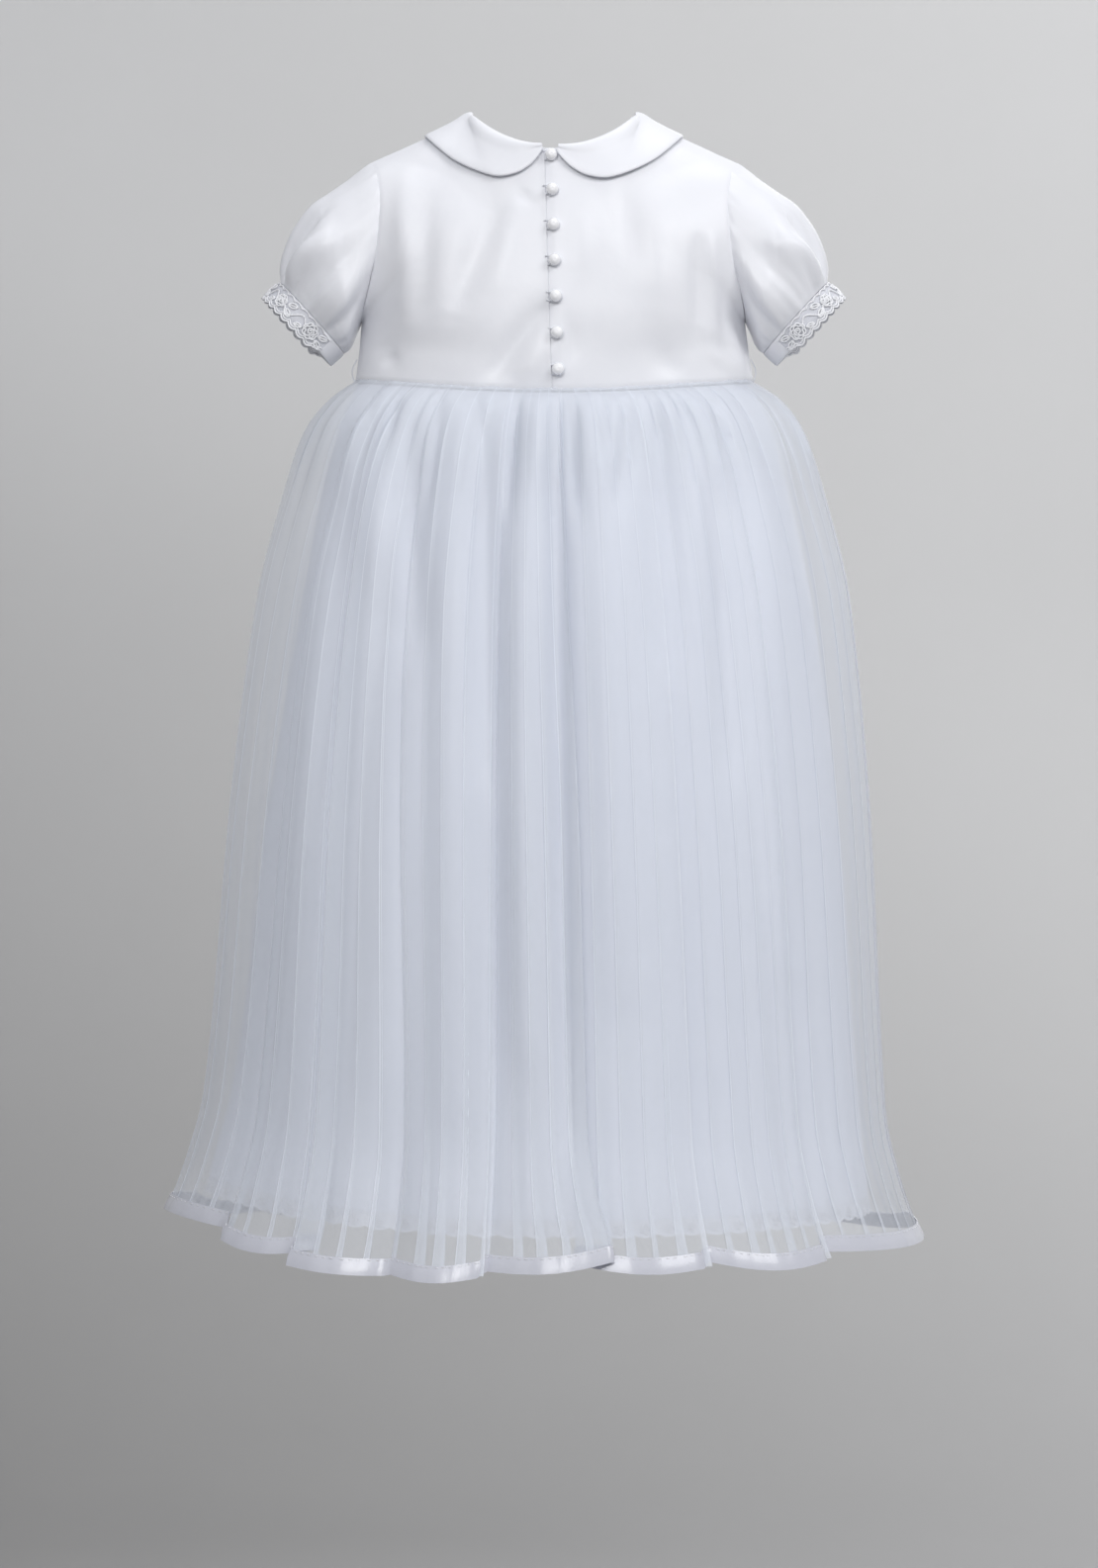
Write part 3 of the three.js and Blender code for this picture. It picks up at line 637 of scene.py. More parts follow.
LINING_LACE = Finish(
    "lining_lace_cloth", "lace", (0.86, 0.88, 0.94), (0.82, 0.84, 0.91), 0.6,
    threads=(560.0, 560.0), relief=0.04, alpha=0.86, holes=0.4,
)
CORD = Finish(
    "loop_thread", "loop_cord", (0.88, 0.89, 0.92), (0.74, 0.76, 0.82), 0.6,
    sheen=0.2, threads=(900.0, 900.0), relief=0.06,
)
PEARL = Finish(
    "pearl_shell", "pearl", (0.96, 0.955, 0.965), (0.90, 0.90, 0.93), 0.25,
    coat=0.7, coat_roughness=0.08, threads=(600.0, 600.0), relief=0.0, ripple=0.12,
)


@dataclass
class BodyForm:
    """The seams that the bodice, collar, sleeves and skirt share, and the panels between them."""

    waist_width: float = 121.0
    waist_depth: float = 62.0
    waist_side_z: float = -165.0
    waist_dip: tuple[float, float] = (10.0, 8.0)
    neck_width: float = 48.0
    neck_depth: tuple[float, float] = (38.0, 46.0)
    neck_top_z: float = -3.0
    neck_drop: tuple[float, float] = (25.0, 43.0)
    neck_share: float = 0.46
    side_seam_share: float = 0.25
    bow: tuple[float, float] = (9.0, 7.0)
    fullness: tuple[float, float] = (9.0, 8.0)
    armhole: Profile = Profile(
        ("across", "z", "back", "front"),
        (
            (0.0, 116.5, -128.0, 0.0, 0.0),
            (15.0, 115.4, -123.0, 14.0, 14.0),
            (36.5, 111.0, -107.0, 28.0, 30.0),
            (61.0, 106.0, -84.0, 34.0, 37.0),
            (84.5, 104.5, -61.0, 31.0, 34.0),
            (109.0, 107.0, -41.0, 18.0, 20.0),
            (130.5, 111.0, -31.0, 0.0, 0.0),
        ),
    )
    panel_top_u: float = 164.0
    panel_waist_u: float = 190.0
    steps: int = 240
    softening: tuple[float, ...] = (-1.0, -0.75, -0.5, -0.25, 0.0, 0.25, 0.5, 0.75, 1.0)
    soft_top: float = 0.5
    soft_side: float = 0.42
    soft_fade: float = 0.75
    halves_apart: float = 0.05
    edges: dict[Half, dict[str, Ring]] = field(default_factory=dict)

    def waist_z(self, degrees: float) -> float:
        """Returns the waist seam's height at an angle."""
        away = math.cos(math.radians(degrees))
        return self.waist_side_z - self.waist_dip[0 if away > 0 else 1] * away * away

    def waist_point(self, degrees: float) -> Vector:
        """Returns the waist seam's point at an angle."""
        width, depth = self.waist_width, self.waist_depth
        size = {"left": width, "right": width, "back": depth, "front": depth}
        return ellipse_point(degrees, size) + Vector((0, 0, self.waist_z(degrees)))

    def neck_point(self, degrees: float) -> Vector:
        """Finds a point of the neck seam.

        Args:
            degrees: the angle round the gown.

        Returns:
            The point.
        """
        away = math.cos(math.radians(degrees))
        half = 0 if away > 0 else 1
        z = self.neck_top_z - self.neck_drop[half] * abs(away) ** 1.5
        x = self.neck_width * math.sin(math.radians(degrees))
        return Vector((x, -self.neck_depth[half] * away, z))

    def armhole_point(self, half: Half, share: float) -> Vector:
        """Finds a point of the armhole seam on the wearer's right.

        Args:
            half: the back or the front.
            share: the share of the way from the underarm to the shoulder.

        Returns:
            The point.
        """
        row = self.armhole.at(share * self.armhole.rows[-1][0])
        depth = row["back"] if half is Half.BACK else row["front"]
        return Vector((row["across"], half.value * max(depth, 0.0), row["z"]))

    def _edges(self, half: Half) -> dict[str, Ring]:
        """Works out a panel's four edges, once.

        Args:
            half: the back or the front.

        Returns:
            Evenly spaced points of its bottom and top from the middle, and of its middle and
            side from the waist.
        """
        if half in self.edges:
            return self.edges[half]
        shoulder = self.armhole_point(half, 1.0)
        edges: dict[str, Ring] = {"bottom": [], "top": [], "middle": [], "side": []}
        for share in spaced(self.steps + 1):
            degrees = [90.0 * t if half is Half.BACK else 180.0 - 90.0 * t
                       for t in (share, min(share / self.neck_share, 1.0))]
            edges["bottom"].append(self.waist_point(degrees[0]))
            past = max(share - self.neck_share, 0.0) / (1 - self.neck_share)
            edges["top"].append(self.neck_point(degrees[1]).lerp(shoulder, past))
            if share < self.side_seam_share:
                low, high = self.waist_point(90.0), self.armhole_point(half, 0.0)
                edges["side"].append(low.lerp(high, share / self.side_seam_share))
            else:
                up = (share - self.side_seam_share) / (1 - self.side_seam_share)
                edges["side"].append(self.armhole_point(half, up))
        bow = self.bow[0 if half is Half.BACK else 1]
        for share in spaced(self.steps + 1):
            middle = edges["bottom"][0].lerp(edges["top"][0], share)
            middle.y += half.value * bow * math.sin(math.pi * share)
            edges["middle"].append(middle)
        self.edges[half] = edges
        return edges

    def _along(self, edge: Ring, share: float, soft: float) -> Vector:
        """Reads an edge, its corners rounded off over a share of its length.

        Args:
            edge: the edge's points.
            share: where along it.
            soft: how far to each side the reading is averaged.

        Returns:
            The point.
        """
        total = Vector()
        soft = min(soft, share, 1 - share)
        for step in self.softening:
            place = min(max(share + step * soft, 0.0), 1.0) * self.steps
            index = min(int(place), self.steps - 1)
            total += edge[index].lerp(edge[index + 1], place - index)
        return total / len(self.softening)

    def panel(self, half: Half, u: float, v: float) -> Vector:
        """Finds a point of the panel on the wearer's right, between its four edges.

        Args:
            half: the back or the front.
            u: 0 in the middle and 1 at the side.
            v: 0 at the waist and 1 at the neck and shoulder.

        Returns:
            The point.
        """
        which = 0 if half is Half.BACK else 1
        edges = self._edges(half)
        sideways = ease(u)
        bottom = self._along(edges["bottom"], u, 0.0)
        top = self._along(edges["top"], u, self.soft_top * (1 - v) ** self.soft_fade)
        middle = self._along(edges["middle"], v, 0.0)
        side = self._along(edges["side"], v, self.soft_side * (1 - u) ** self.soft_fade)
        point = bottom * (1 - v) + top * v + middle * (1 - sideways) + side * sideways
        for edge, share in ((edges["bottom"], 1 - v), (edges["top"], v)):
            point -= edge[0] * ((1 - sideways) * share) + edge[-1] * (sideways * share)
        point.y += half.value * self.fullness[which] * math.sin(math.pi * u) ** 2 * math.sin(math.pi * v)
        point.y += half.value * self.halves_apart
        return point

    def find(self, half: Half, x: float, z: float) -> tuple[float, float]:
        """Finds which u and v of a panel lie at a place across and a height.

        Args:
            half: the back or the front.
            x: the place across.
            z: the height.

        Returns:
            The panel's u and v there.
        """
        u, v = 0.4, 0.7
        step = 0.004
        for _ in range(12):
            here = self.panel(half, u, v)
            along = (self.panel(half, u + step, v) - here) / step
            up = (self.panel(half, u, v + step) - here) / step
            scale = along.x * up.z - up.x * along.z
            miss_x, miss_z = x - here.x, z - here.z
            u = min(max(u + (miss_x * up.z - miss_z * up.x) / scale, 0.0), 0.995)
            v = min(max(v + (miss_z * along.x - miss_x * along.z) / scale, 0.0), 0.995)
        return u, v

    def panel_normal(self, half: Half, u: float, v: float) -> Vector:
        """Finds which way the panel on the wearer's right faces.

        Args:
            half: the back or the front.
            u: 0 in the middle and 1 at the side.
            v: 0 at the waist and 1 at the neck and shoulder.

        Returns:
            The outward direction.
        """
        step = 0.01
        u, v = min(max(u, 0.0), 1 - step), min(max(v, 0.0), 1 - step)
        here = self.panel(half, u, v)
        along = self.panel(half, u + step, v) - here
        up = self.panel(half, u, v + step) - here
        return along.cross(up).normalized() * (1 if half is Half.BACK else -1)

    def outwards(self, point: Vector) -> Vector:
        """Returns the level direction away from the body's middle."""
        return Vector((point.x / self.waist_width**2, point.y / self.waist_depth**2, 0)).normalized()


@dataclass
class Bodice:
    """The satin bodice: two back panels that button over each other, and a front."""

    form: BodyForm
    wall: float = 0.7
    across: int = 64
    up: int = 72
    closing_waist_x: float = -1.3
    closing_neck_x: float = -5.9
    tab_width: float = 10.0
    tab_drop: float = 1.0
    tab_step: tuple[float, float] = (0.2, 4.0)
    closing_ridge: float = 0.45
    closing_ridge_width: float = 1.6
    crease_scale: float = 1.45
    unevenness: float = 0.9
    unevenness_scale: float = 0.035
    waist_tuck: float = 2.2
    waist_tuck_z: tuple[float, float] = (-0.5, 2.5)
    armhole_tuck: float = 0.4
    armhole_tuck_u: float = 0.975
    calm_hem_z: tuple[float, float] = (-12.0, 4.0)
    calm_hem: float = 0.35
    back_creases: tuple[Crease, ...] = (
        Crease((-89, -43), (-89, -128), 7.0, 1.7),
        Crease((-74, -60), (-78, -130), 6.0, -0.8),
        Crease((-38, -70), (-60, -128), 9.0, -1.9),
        Crease((-22, -60), (-36, -118), 9.0, 0.9),
        Crease((-23, -54), (-12, -63), 4.5, -1.3),
        Crease((-6, -125), (-38, -168), 6.5, -2.2),
        Crease((-4, -146), (-20, -170), 8.0, 1.2),
        Crease((-99, -150), (-97, -157), 5.0, -1.5),
        Crease((43, -56), (47, -99), 7.5, -1.6),
        Crease((15, -67), (15, -105), 7.5, 1.0),
        Crease((10, -135), (10, -157), 5.0, -1.2),
        Crease((86, -85), (86, -142), 5.0, -1.7),
        Crease((94, -82), (96, -150), 4.5, 1.5),
        Crease((96, -150), (111, -161), 4.5, 1.4),
        Crease((106, -135), (114, -157), 3.6, 1.2),
        Crease((61, -151), (74, -165), 8.0, -1.3),
        Crease((60, -70), (66, -140), 9.0, 0.9),
    )
    front_creases: tuple[Crease, ...] = (
        Crease((-84, -60), (-88, -135), 7.0, 1.5),
        Crease((82, -66), (86, -140), 6.5, 1.5),
        Crease((-40, -80), (-58, -150), 9.0, -1.5),
        Crease((44, -86), (56, -150), 8.0, -1.6),
        Crease((10, -110), (20, -165), 9.0, 1.1),
        Crease((-16, -100), (-10, -165), 7.0, -1.1),
    )

    def closing_x(self, z: float) -> float:
        """Returns where the left panel's edge lies at a height."""
        low = self.form.waist_side_z - self.form.waist_dip[0]
        high = self.form.neck_top_z - self.form.neck_drop[0]
        return mix(self.closing_waist_x, self.closing_neck_x, min(max((z - low) / (high - low), 0), 1))

    def _closing_u(self, v: float) -> float:
        """Returns the closing's u on the whole back at a height share."""
        form = self.form
        low, high = self.closing_waist_x / form.panel_waist_u, self.closing_neck_x / form.panel_top_u
        return mix(low, high, v)

    def _creased(self, point: Vector, u: float, creases: Sequence[Crease]) -> Vector:
        """Moves a point of a panel out by the creases there, and in along its seams.

        Args:
            point: the point.
            u: 0 in the middle and 1 at the side.
            creases: the panel's creases.

        Returns:
            The moved point.
        """
        form = self.form
        lift = self.crease_scale * sum(crease.lift(point.x, point.z) for crease in creases)
        lift += self.unevenness * noise.noise(point * self.unevenness_scale)
        degrees = math.degrees(math.atan2(point.x / form.waist_width, -point.y / form.waist_depth))
        above = point.z - form.waist_z(degrees)
        lift -= self.waist_tuck * (1 - ease(above, *self.waist_tuck_z))
        lift -= self.armhole_tuck * ease(u, self.armhole_tuck_u, 1.0)
        hem = ease(point.z - form.waist_side_z, *self.calm_hem_z)
        return point + form.outwards(point) * lift * mix(self.calm_hem, 1.0, hem)

    def _whole(self, half: Half, u: float, v: float, creases: Sequence[Crease]) -> Vector:
        """Returns a point of the whole back or front, with u below 0 on the wearer's left."""
        side = Side.LEFT if u < 0 else Side.RIGHT
        return self._creased(mirrored(self.form.panel(half, abs(u), v), side), abs(u), creases)

    def back_point(self, u: float, v: float) -> Vector:
        """Returns a point of the whole back."""
        return self._whole(Half.BACK, u, v, self.back_creases)

    def left_point(self, share: float, v: float) -> Vector:
        """Finds a point of the left back panel.

        Args:
            share: the share of the way from the closing to the side.
            v: 0 at the waist and 1 at the neck.

        Returns:
            The point.
        """
        u = mix(self._closing_u(v), -1.0, share)
        point = self.back_point(u, v)
        near_edge = hump(point.x, self.closing_x(point.z), self.closing_ridge_width)
        return point + Vector((0, -self.closing_ridge * near_edge, 0))

    def right_point(self, share: float, v: float) -> Vector:
        """Finds a point of the right back panel, whose tab lies under the left one.

        Args:
            share: the share of the way from the tab's edge to the side.
            v: 0 at the waist and 1 at the neck.

        Returns:
            The point.
        """
        form = self.form
        tab = self._closing_u(v) - self.tab_width / mix(form.panel_waist_u, form.panel_top_u, v)
        point = self.back_point(mix(tab, 1.0, share), v)
        past = point.x - self.closing_x(point.z)
        point.y += self.tab_drop * (1 - ease(past, *self.tab_step))
        return point

    def _rows(self, surface: Callable[[float, float], Vector], columns: list[float]) -> list[Ring]:
        """Returns rows of a panel's points, from the waist up."""
        return [[surface(u, v) for u in columns] for v in spaced(self.up + 1)]

    def build(self) -> None:
        """Makes the three panels."""
        size = (125.0, 150.0)
        near = [1 - (1 - share**1.2) ** 1.25 for share in spaced(self.across + 1)]
        for name, surface in (("back_left", self.left_point), ("back_right", self.right_point)):
            piece = Cloth(f"bodice_{name}", self._rows(surface, near), woven=size).make()
            thicken(piece, self.wall)
            fit(piece, SATIN, name)
        whole = spaced(2 * self.across + 1, -1.0, 1.0)
        rows = self._rows(self._front_point, whole)
        piece = Cloth("bodice_front", rows, woven=(250.0, 140.0)).make()
        thicken(piece, self.wall)
        fit(piece, SATIN, "front")

    def _front_point(self, u: float, v: float) -> Vector:
        """Returns a point of the whole front."""
        return self._whole(Half.FRONT, u, v, self.front_creases)


@dataclass
class Collar:
    """The round collar in two halves, rolled over at the neck."""

    form: BodyForm
    wall: float = 1.3
    start: dict[str, float] = field(
        default_factory=lambda: {"left": 0.042, "right": 0.014, "front": 0.02}
    )
    roll: Profile = Profile(
        ("lift",),
        ((0.0, 1.7), (0.08, 2.9), (0.18, 3.3), (0.42, 2.4), (0.72, 2.2), (0.93, 2.3), (1.0, 1.9)),
    )
    edge: Profile = Profile(
        ("x", "z"),
        (
            (0.0, 4.4, -29.0), (0.06, 6.6, -33.5), (0.15, 12.5, -40.5), (0.26, 21.0, -45.4),
            (0.38, 31.0, -47.1), (0.52, 42.5, -44.0), (0.72, 59.0, -35.6), (0.87, 70.6, -25.4),
            (1.0, 78.2, -16.4),
        ),
    )
    shift: dict[str, tuple[float, float]] = field(
        default_factory=lambda: {"left": (2.6, 1.0), "right": (-2.6, -1.0), "front": (-3.0, -16.0)}
    )

    def _line(self, half: Half, word: str, along: float) -> Ring:
        """Finds the points of one cross line, from the neck to the outer edge.

        Args:
            half: the back or the front.
            word: left or right on the back, or front.
            along: the share of the way from the middle to the shoulder.

        Returns:
            The line's points on the wearer's right.
        """
        first = mix(self.start[word], self.form.neck_share, along)
        row = self.edge.at(along)
        shift = self.shift[word]
        fade = (1 - along) ** 1.5
        edge_x, edge_z = row["x"] + shift[0] * fade, row["z"] + shift[1] * fade
        last_u, last_v = self.form.find(half, edge_x, edge_z)
        if along == 1:
            last_v = 1.0
        points = []
        for across in spaced(19):
            u, v = mix(first, last_u, across), mix(1.0, last_v, across)
            normal = self.form.panel_normal(half, u, v)
            normal.y *= 1 - along**6
            lift = self.roll.at(across)["lift"]
            points.append(self.form.panel(half, u, v) + normal.normalized() * lift)
        return points

    def build(self) -> None:
        """Makes the two halves."""
        places = [share**1.5 for share in spaced(34)]
        for side in Side:
            back = [self._line(Half.BACK, side.word, along) for along in places]
            front = [self._line(Half.FRONT, "front", along) for along in places]
            shoulder = [p.lerp(q, 0.5) for p, q in zip(back[-1], front[-1])]
            lines = [*back[:-1], shoulder, *reversed(front[:-1])]
            rows = [[mirrored(point, side) for point in line] for line in lines]
            name = f"collar_cloth_{side.word}"
            piece = Cloth(name, rows, woven=(36.0, 230.0), inside=lambda point: BODY_MIDDLE).make()
            thicken(piece, self.wall, rolled=True)
            fit(piece, SATIN, f"collar_{side.word}")


@dataclass
class Sleeve:
    """A puffed sleeve, gathered into its cuff."""

    form: BodyForm
    bodice: Bodice
    side: Side
    wall: float = 0.9
    from_armhole: float = -0.3
    cuff_x: float = 146.5
    cuff_z: float = -125.5
    cuff_slope: float = 47.8
    cuff_length: float = 28.6
    cuff_depth: float = 25.0
    cuff_wall: float = 1.2
    cuff_section: tuple[tuple[float, float], ...] = (
        (-0.2, -0.5), (0.1, 0.1), (0.8, 0.35), (3, 0.5), (6, 0.5), (9, 0.45),
        (10.3, 0.3), (10.9, 0.0), (11.0, -0.5),
    )
    underarm_puff: float = 0.1
    rings: Profile = Profile(
        ("puff", "gather"),
        (
            (0.0, 0.0, 0.1), (0.03, 1.2, 0.5), (0.1, 3.6, 0.25), (0.25, 7.6, 0.1), (0.42, 12.0, 0.15),
            (0.58, 15.0, 0.5), (0.72, 13.4, 0.9), (0.86, 8.8, 1.5), (0.95, 4.0, 1.3), (1.0, 0.4, 0.2),
        ),
    )
    around: int = 144
    along: int = 48
    crease_scale: float = 1.5
    crease_down: float = 90.0
    creases: tuple[Crease, ...] = (
        Crease((62, 0.55), (40, 1.0), 10.0, 4.2),
        Crease((30, 0.55), (22, 1.0), 7.0, -4.0),
        Crease((84, 0.30), (70, 0.95), 13.0, -2.0),
        Crease((108, 0.25), (104, 0.9), 12.0, 2.2),
        Crease((128, 0.3), (122, 0.85), 9.0, -1.6),
        Crease((8, 0.4), (4, 1.0), 9.0, 1.4),
        Crease((300, 0.5), (318, 1.0), 11.0, 2.0),
        Crease((268, 0.3), (284, 0.9), 13.0, -1.8),
        Crease((240, 0.3), (244, 0.9), 12.0, 1.8),
    )

    @property
    def cuff_axis(self) -> Vector:
        """Returns the direction down the arm."""
        slope = math.radians(self.cuff_slope)
        return Vector((math.sin(slope), 0, -math.cos(slope)))

    def cuff_point(self, degrees: float, along: float, grown: float = 0.0) -> Vector:
        """Finds a point round the cuff of the wearer's right sleeve.

        Args:
            degrees: the angle from the cuff's outer end towards the back.
            along: how far down the arm from the cuff's seam.
            grown: how far outside the cuff's face.

        Returns:
            The point.
        """
        slope, angle = math.radians(self.cuff_slope), math.radians(degrees)
        outer = Vector((math.cos(slope), 0, math.sin(slope)))
        point = Vector((self.cuff_x, 0, self.cuff_z)) + self.cuff_axis * along
        point += outer * (self.cuff_length + grown) * math.cos(angle)
        point.y -= (self.cuff_depth + grown) * math.sin(angle)
        return point

    def _armhole_point(self, degrees: float) -> Vector:
        """Finds where the sleeve meets the armhole.

        Args:
            degrees: the angle from the shoulder round the back.

        Returns:
            The point.
        """
        low = self.form.side_seam_share
        if degrees <= 180:
            point = self.form.panel(Half.BACK, 1.0, 1 - (1 - low) * degrees / 180)
        else:
            point = self.form.panel(Half.FRONT, 1.0, low + (1 - low) * (degrees - 180) / 180)
        return point + Vector((self.from_armhole, 0, 0))

    def _gathers(self, degrees: float, along: float) -> float:
        """Returns the small gathers, from -1 to 1, closest where the cloth is drawn in."""
        angle = math.radians(degrees)
        wander = 0.8 * noise.noise(Vector((degrees * 0.02, along * 2.0, 4.0 * self.side.value)))
        return 0.6 * math.sin(17 * angle + 3 * wander) + 0.4 * math.sin(29 * angle + 1.3 + 4 * wander)

    def _scaled_creases(self) -> list[Crease]:
        """Turns the creases' shares down the sleeve into lengths.

        Returns:
            The creases, each with its full height.
        """
        down = self.crease_down
        return [
            Crease((fold.start[0], fold.start[1] * down), (fold.end[0], fold.end[1] * down),
                   fold.width, self.crease_scale * fold.height)
            for fold in self.creases
        ]

    def _ring(self, along: float, armhole: Ring, end: Ring) -> Ring:
        """Finds one ring of the sleeve.

        Args:
            along: the share of the way from the armhole to the cuff.
            armhole: the ring at the armhole.
            end: the ring at the cuff.

        Returns:
            The ring's points, the first one repeated at the end.
        """
        row = self.rings.at(along)
        ring = [p.lerp(q, along) for p, q in zip(armhole, end)]
        centre = sum(ring[:-1], Vector()) / (len(ring) - 1)
        creases = self._scaled_creases()
        moved = []
        for i, point in enumerate(ring):
            degrees = 360.0 * i / self.around
            to_top = 0.5 + 0.5 * math.cos(math.radians(degrees))
            share = self.underarm_puff + (1 - self.underarm_puff) * to_top**0.6
            lift = row["puff"] * share
            lift += row["gather"] * self._gathers(degrees, along) * (0.3 + 0.7 * to_top)
            for crease in creases:
                fold = crease.lift(degrees, along * self.crease_down)
                lift += fold * ease(along, 0, 0.2) * (1 - ease(along, 0.93, 1.0))
            moved.append(point + (point - centre).normalized() * lift)
        return moved[:-1] + [moved[0].copy()]

    def middle(self, point: Vector) -> Vector:
        """Returns a point inside the sleeve, for telling its outer face, whatever the point."""
        return Vector((self.side.value * 128, 0, -98))

    def build(self) -> None:
        """Makes the sleeve, its cuff and the lace on the cuff."""
        word = self.side.word
        turns = [360.0 * i / self.around for i in range(self.around + 1)]
        armhole = [self._armhole_point(degrees) for degrees in turns]
        end = [self.cuff_point(degrees, -0.35) for degrees in turns]
        rings = [self._ring(along, armhole, end) for along in spaced(self.along + 1)]
        placed = [[mirrored(p, self.side) for p in ring] for ring in rings]
        name = f"sleeve_cloth_{word}"
        sleeve = Cloth(name, placed, closed=True, woven=(230.0, 95.0), inside=self.middle).make()
        thicken(sleeve, self.wall)
        fit(sleeve, SATIN, f"sleeve_{word}")
        band = []
        for along, grown in self.cuff_section:
            ring = [self.cuff_point(degrees, along, grown) for degrees in turns]
            band.append([mirrored(p, self.side) for p in ring[:-1] + [ring[0].copy()]])
        name = f"cuff_band_{word}"
        cuff = Cloth(name, band, closed=True, woven=(170.0, 11.0), inside=self.middle).make()
        thicken(cuff, self.cuff_wall)
        fit(cuff, SATIN, f"cuff_{word}")
        CuffLace(self).build()


@dataclass
class CuffLace:
    """Corded lace over the cuff: a net ground with scrolls and roses of cord."""

    sleeve: Sleeve
    reach: float = 132.0
    top: float = 0.6
    cord: float = 0.52
    off: float = 0.6
    scallop: float = 6.2
    roses: int = 5
    rose_down: float = 6.4
    rose_sizes: tuple[float, float] = (4.7, 4.0)

    def _place(self, across: float, down: float, lift: float = 0.0) -> Vector:
        """Lays a place of the flat lace on the cuff.

        Args:
            across: millimetres along the lace from its middle.
            down: millimetres down from its upper edge.
            lift: how far the cord stands off the net.

        Returns:
            The point.
        """
        degrees = across / self._length() * 2 * self.reach
        point = self.sleeve.cuff_point(degrees, self.top + down, self.off + lift)
        return mirrored(point, self.sleeve.side)

    def _length(self) -> float:
        """Returns the lace's length round the cuff."""
        return math.radians(2 * self.reach) * (self.sleeve.cuff_length + self.sleeve.cuff_depth) / 2

    def _edge(self, across: float, upper: bool) -> float:
        """Returns where an edge of the lace lies, in scallops."""
        wave = abs(math.sin(math.pi * across / self.scallop)) ** 0.7
        inner = ease(self._length() / 2 - abs(across), 0.0, 9.0)
        return 1.2 - 1.4 * wave * inner if upper else mix(9.6, 11.8, inner) + 2.0 * wave * inner

    def _round(self, centre: tuple[float, float], radius: float, angle: float, lift: float) -> Vector:
        """Returns the point at an angle, in radians, round a place of the flat lace."""
        x, down = centre[0] + radius * math.cos(angle), centre[1] + radius * math.sin(angle)
        return self._place(x, down, lift)

    def _rose(self, centre: tuple[float, float], size: float, turn: float) -> list[Ring]:
        """Draws a rose of cord: a spiral heart inside two rows of petals.

        Args:
            centre: its middle on the flat lace.
            size: its radius.
            turn: how far it is turned, in degrees.

        Returns:
            The cords' paths.
        """
        paths = []
        heart = []
        for i in range(26):
            share = i / 25
            angle = math.radians(turn + 640 * share)
            heart.append(self._round(centre, size * mix(0.08, 0.5, share), angle, 1.1))
        paths.append(heart)
        for count, radius, bulge in ((5, 0.66, 0.24), (7, 0.92, 0.16)):
            petals = []
            for i in range(count * 8 + 1):
                angle = math.radians(turn + 360 * i / (count * 8))
                reach = size * (radius + bulge * abs(math.sin(count * angle / 2)) - bulge / 2)
                petals.append(self._round(centre, reach, angle, 0.8))
            paths.append(petals)
        return paths

    def _leaf(self, start: tuple[float, float], end: tuple[float, float], width: float) -> list[Ring]:
        """Draws a leaf of cord round a middle vein.

        Args:
            start: its stalk on the flat lace.
            end: its tip.
            width: its half width.

        Returns:
            The cords' paths.
        """
        side_x, side_z = -(end[1] - start[1]), end[0] - start[0]
        scale = math.hypot(side_x, side_z)
        outline = []
        for i in range(21):
            share = i / 20
            along = 2 * share if share <= 0.5 else 2 - 2 * share
            bulge = width * math.sin(math.pi * along) ** 0.8 * (1 if share <= 0.5 else -1)
            x = mix(start[0], end[0], along) + bulge * side_x / scale
            z = mix(start[1], end[1], along) + bulge * side_z / scale
            outline.append(self._place(x, z, 0.5))
        vein = [self._place(mix(start[0], end[0], s), mix(start[1], end[1], s), 0.5) for s in spaced(6)]
        return [outline, vein]

    def _scroll(self, start: float, end: float) -> list[Ring]:
        """Draws a stem of cord that runs in a wave from one rose to the next.

        Args:
            start: where it begins along the lace.
            end: where it ends.

        Returns:
            The cords' paths.
        """
        stem = []
        for share in spaced(20):
            down = 6.6 + 3.4 * math.sin(2 * math.pi * share)
            stem.append(self._place(mix(start, end, share), down, 0.4))
        return [stem]

    def build(self) -> None:
        """Makes the net and the cords."""
        word = self.sleeve.side.word
        half = self._length() / 2
        columns = spaced(181, -half, half)
        upper_edge, lower_edge = ([self._edge(x, upper) for x in columns] for upper in (True, False))
        rows = []
        for share in spaced(9):
            downs = [mix(high, low, share) for high, low in zip(upper_edge, lower_edge)]
            rows.append([self._place(x, down) for x, down in zip(columns, downs)])
        name = f"cuff_lace_net_{word}"
        net = Cloth(name, rows, woven=(2 * half, 14.0), inside=self.sleeve.middle).make()
        thicken(net, 0.25)
        fit(net, LACE_NET, f"cuff_lace_{word}")
        paths = []
        for downs in (upper_edge, lower_edge):
            paths.append([self._place(x, down, 0.25) for x, down in zip(columns, downs)])
        paths.append([self._place(x, down - 1.5, 0.2) for x, down in zip(columns, lower_edge)])
        pitch = 2 * half / self.roses
        for i in range(self.roses):
            middle = -half + (i + 0.5) * pitch
            size = self.rose_sizes[i % 2]
            paths += self._rose((middle, self.rose_down), size, 40.0 * i)
            paths += self._leaf((middle + 5.2, 5.0), (middle + 10.6, 2.4), 1.5)
            paths += self._leaf((middle + 5.4, 8.0), (middle + 11.0, 10.2), 1.6)
            paths += self._leaf((middle - 5.0, 8.4), (middle - 9.4, 10.6), 1.2)
            if i < self.roses - 1:
                paths += self._scroll(middle + size, middle + pitch - size)
        cords = cord_object(f"cuff_lace_cords_{word}", paths, self.cord)
        fit(cords, LACE_THREAD)


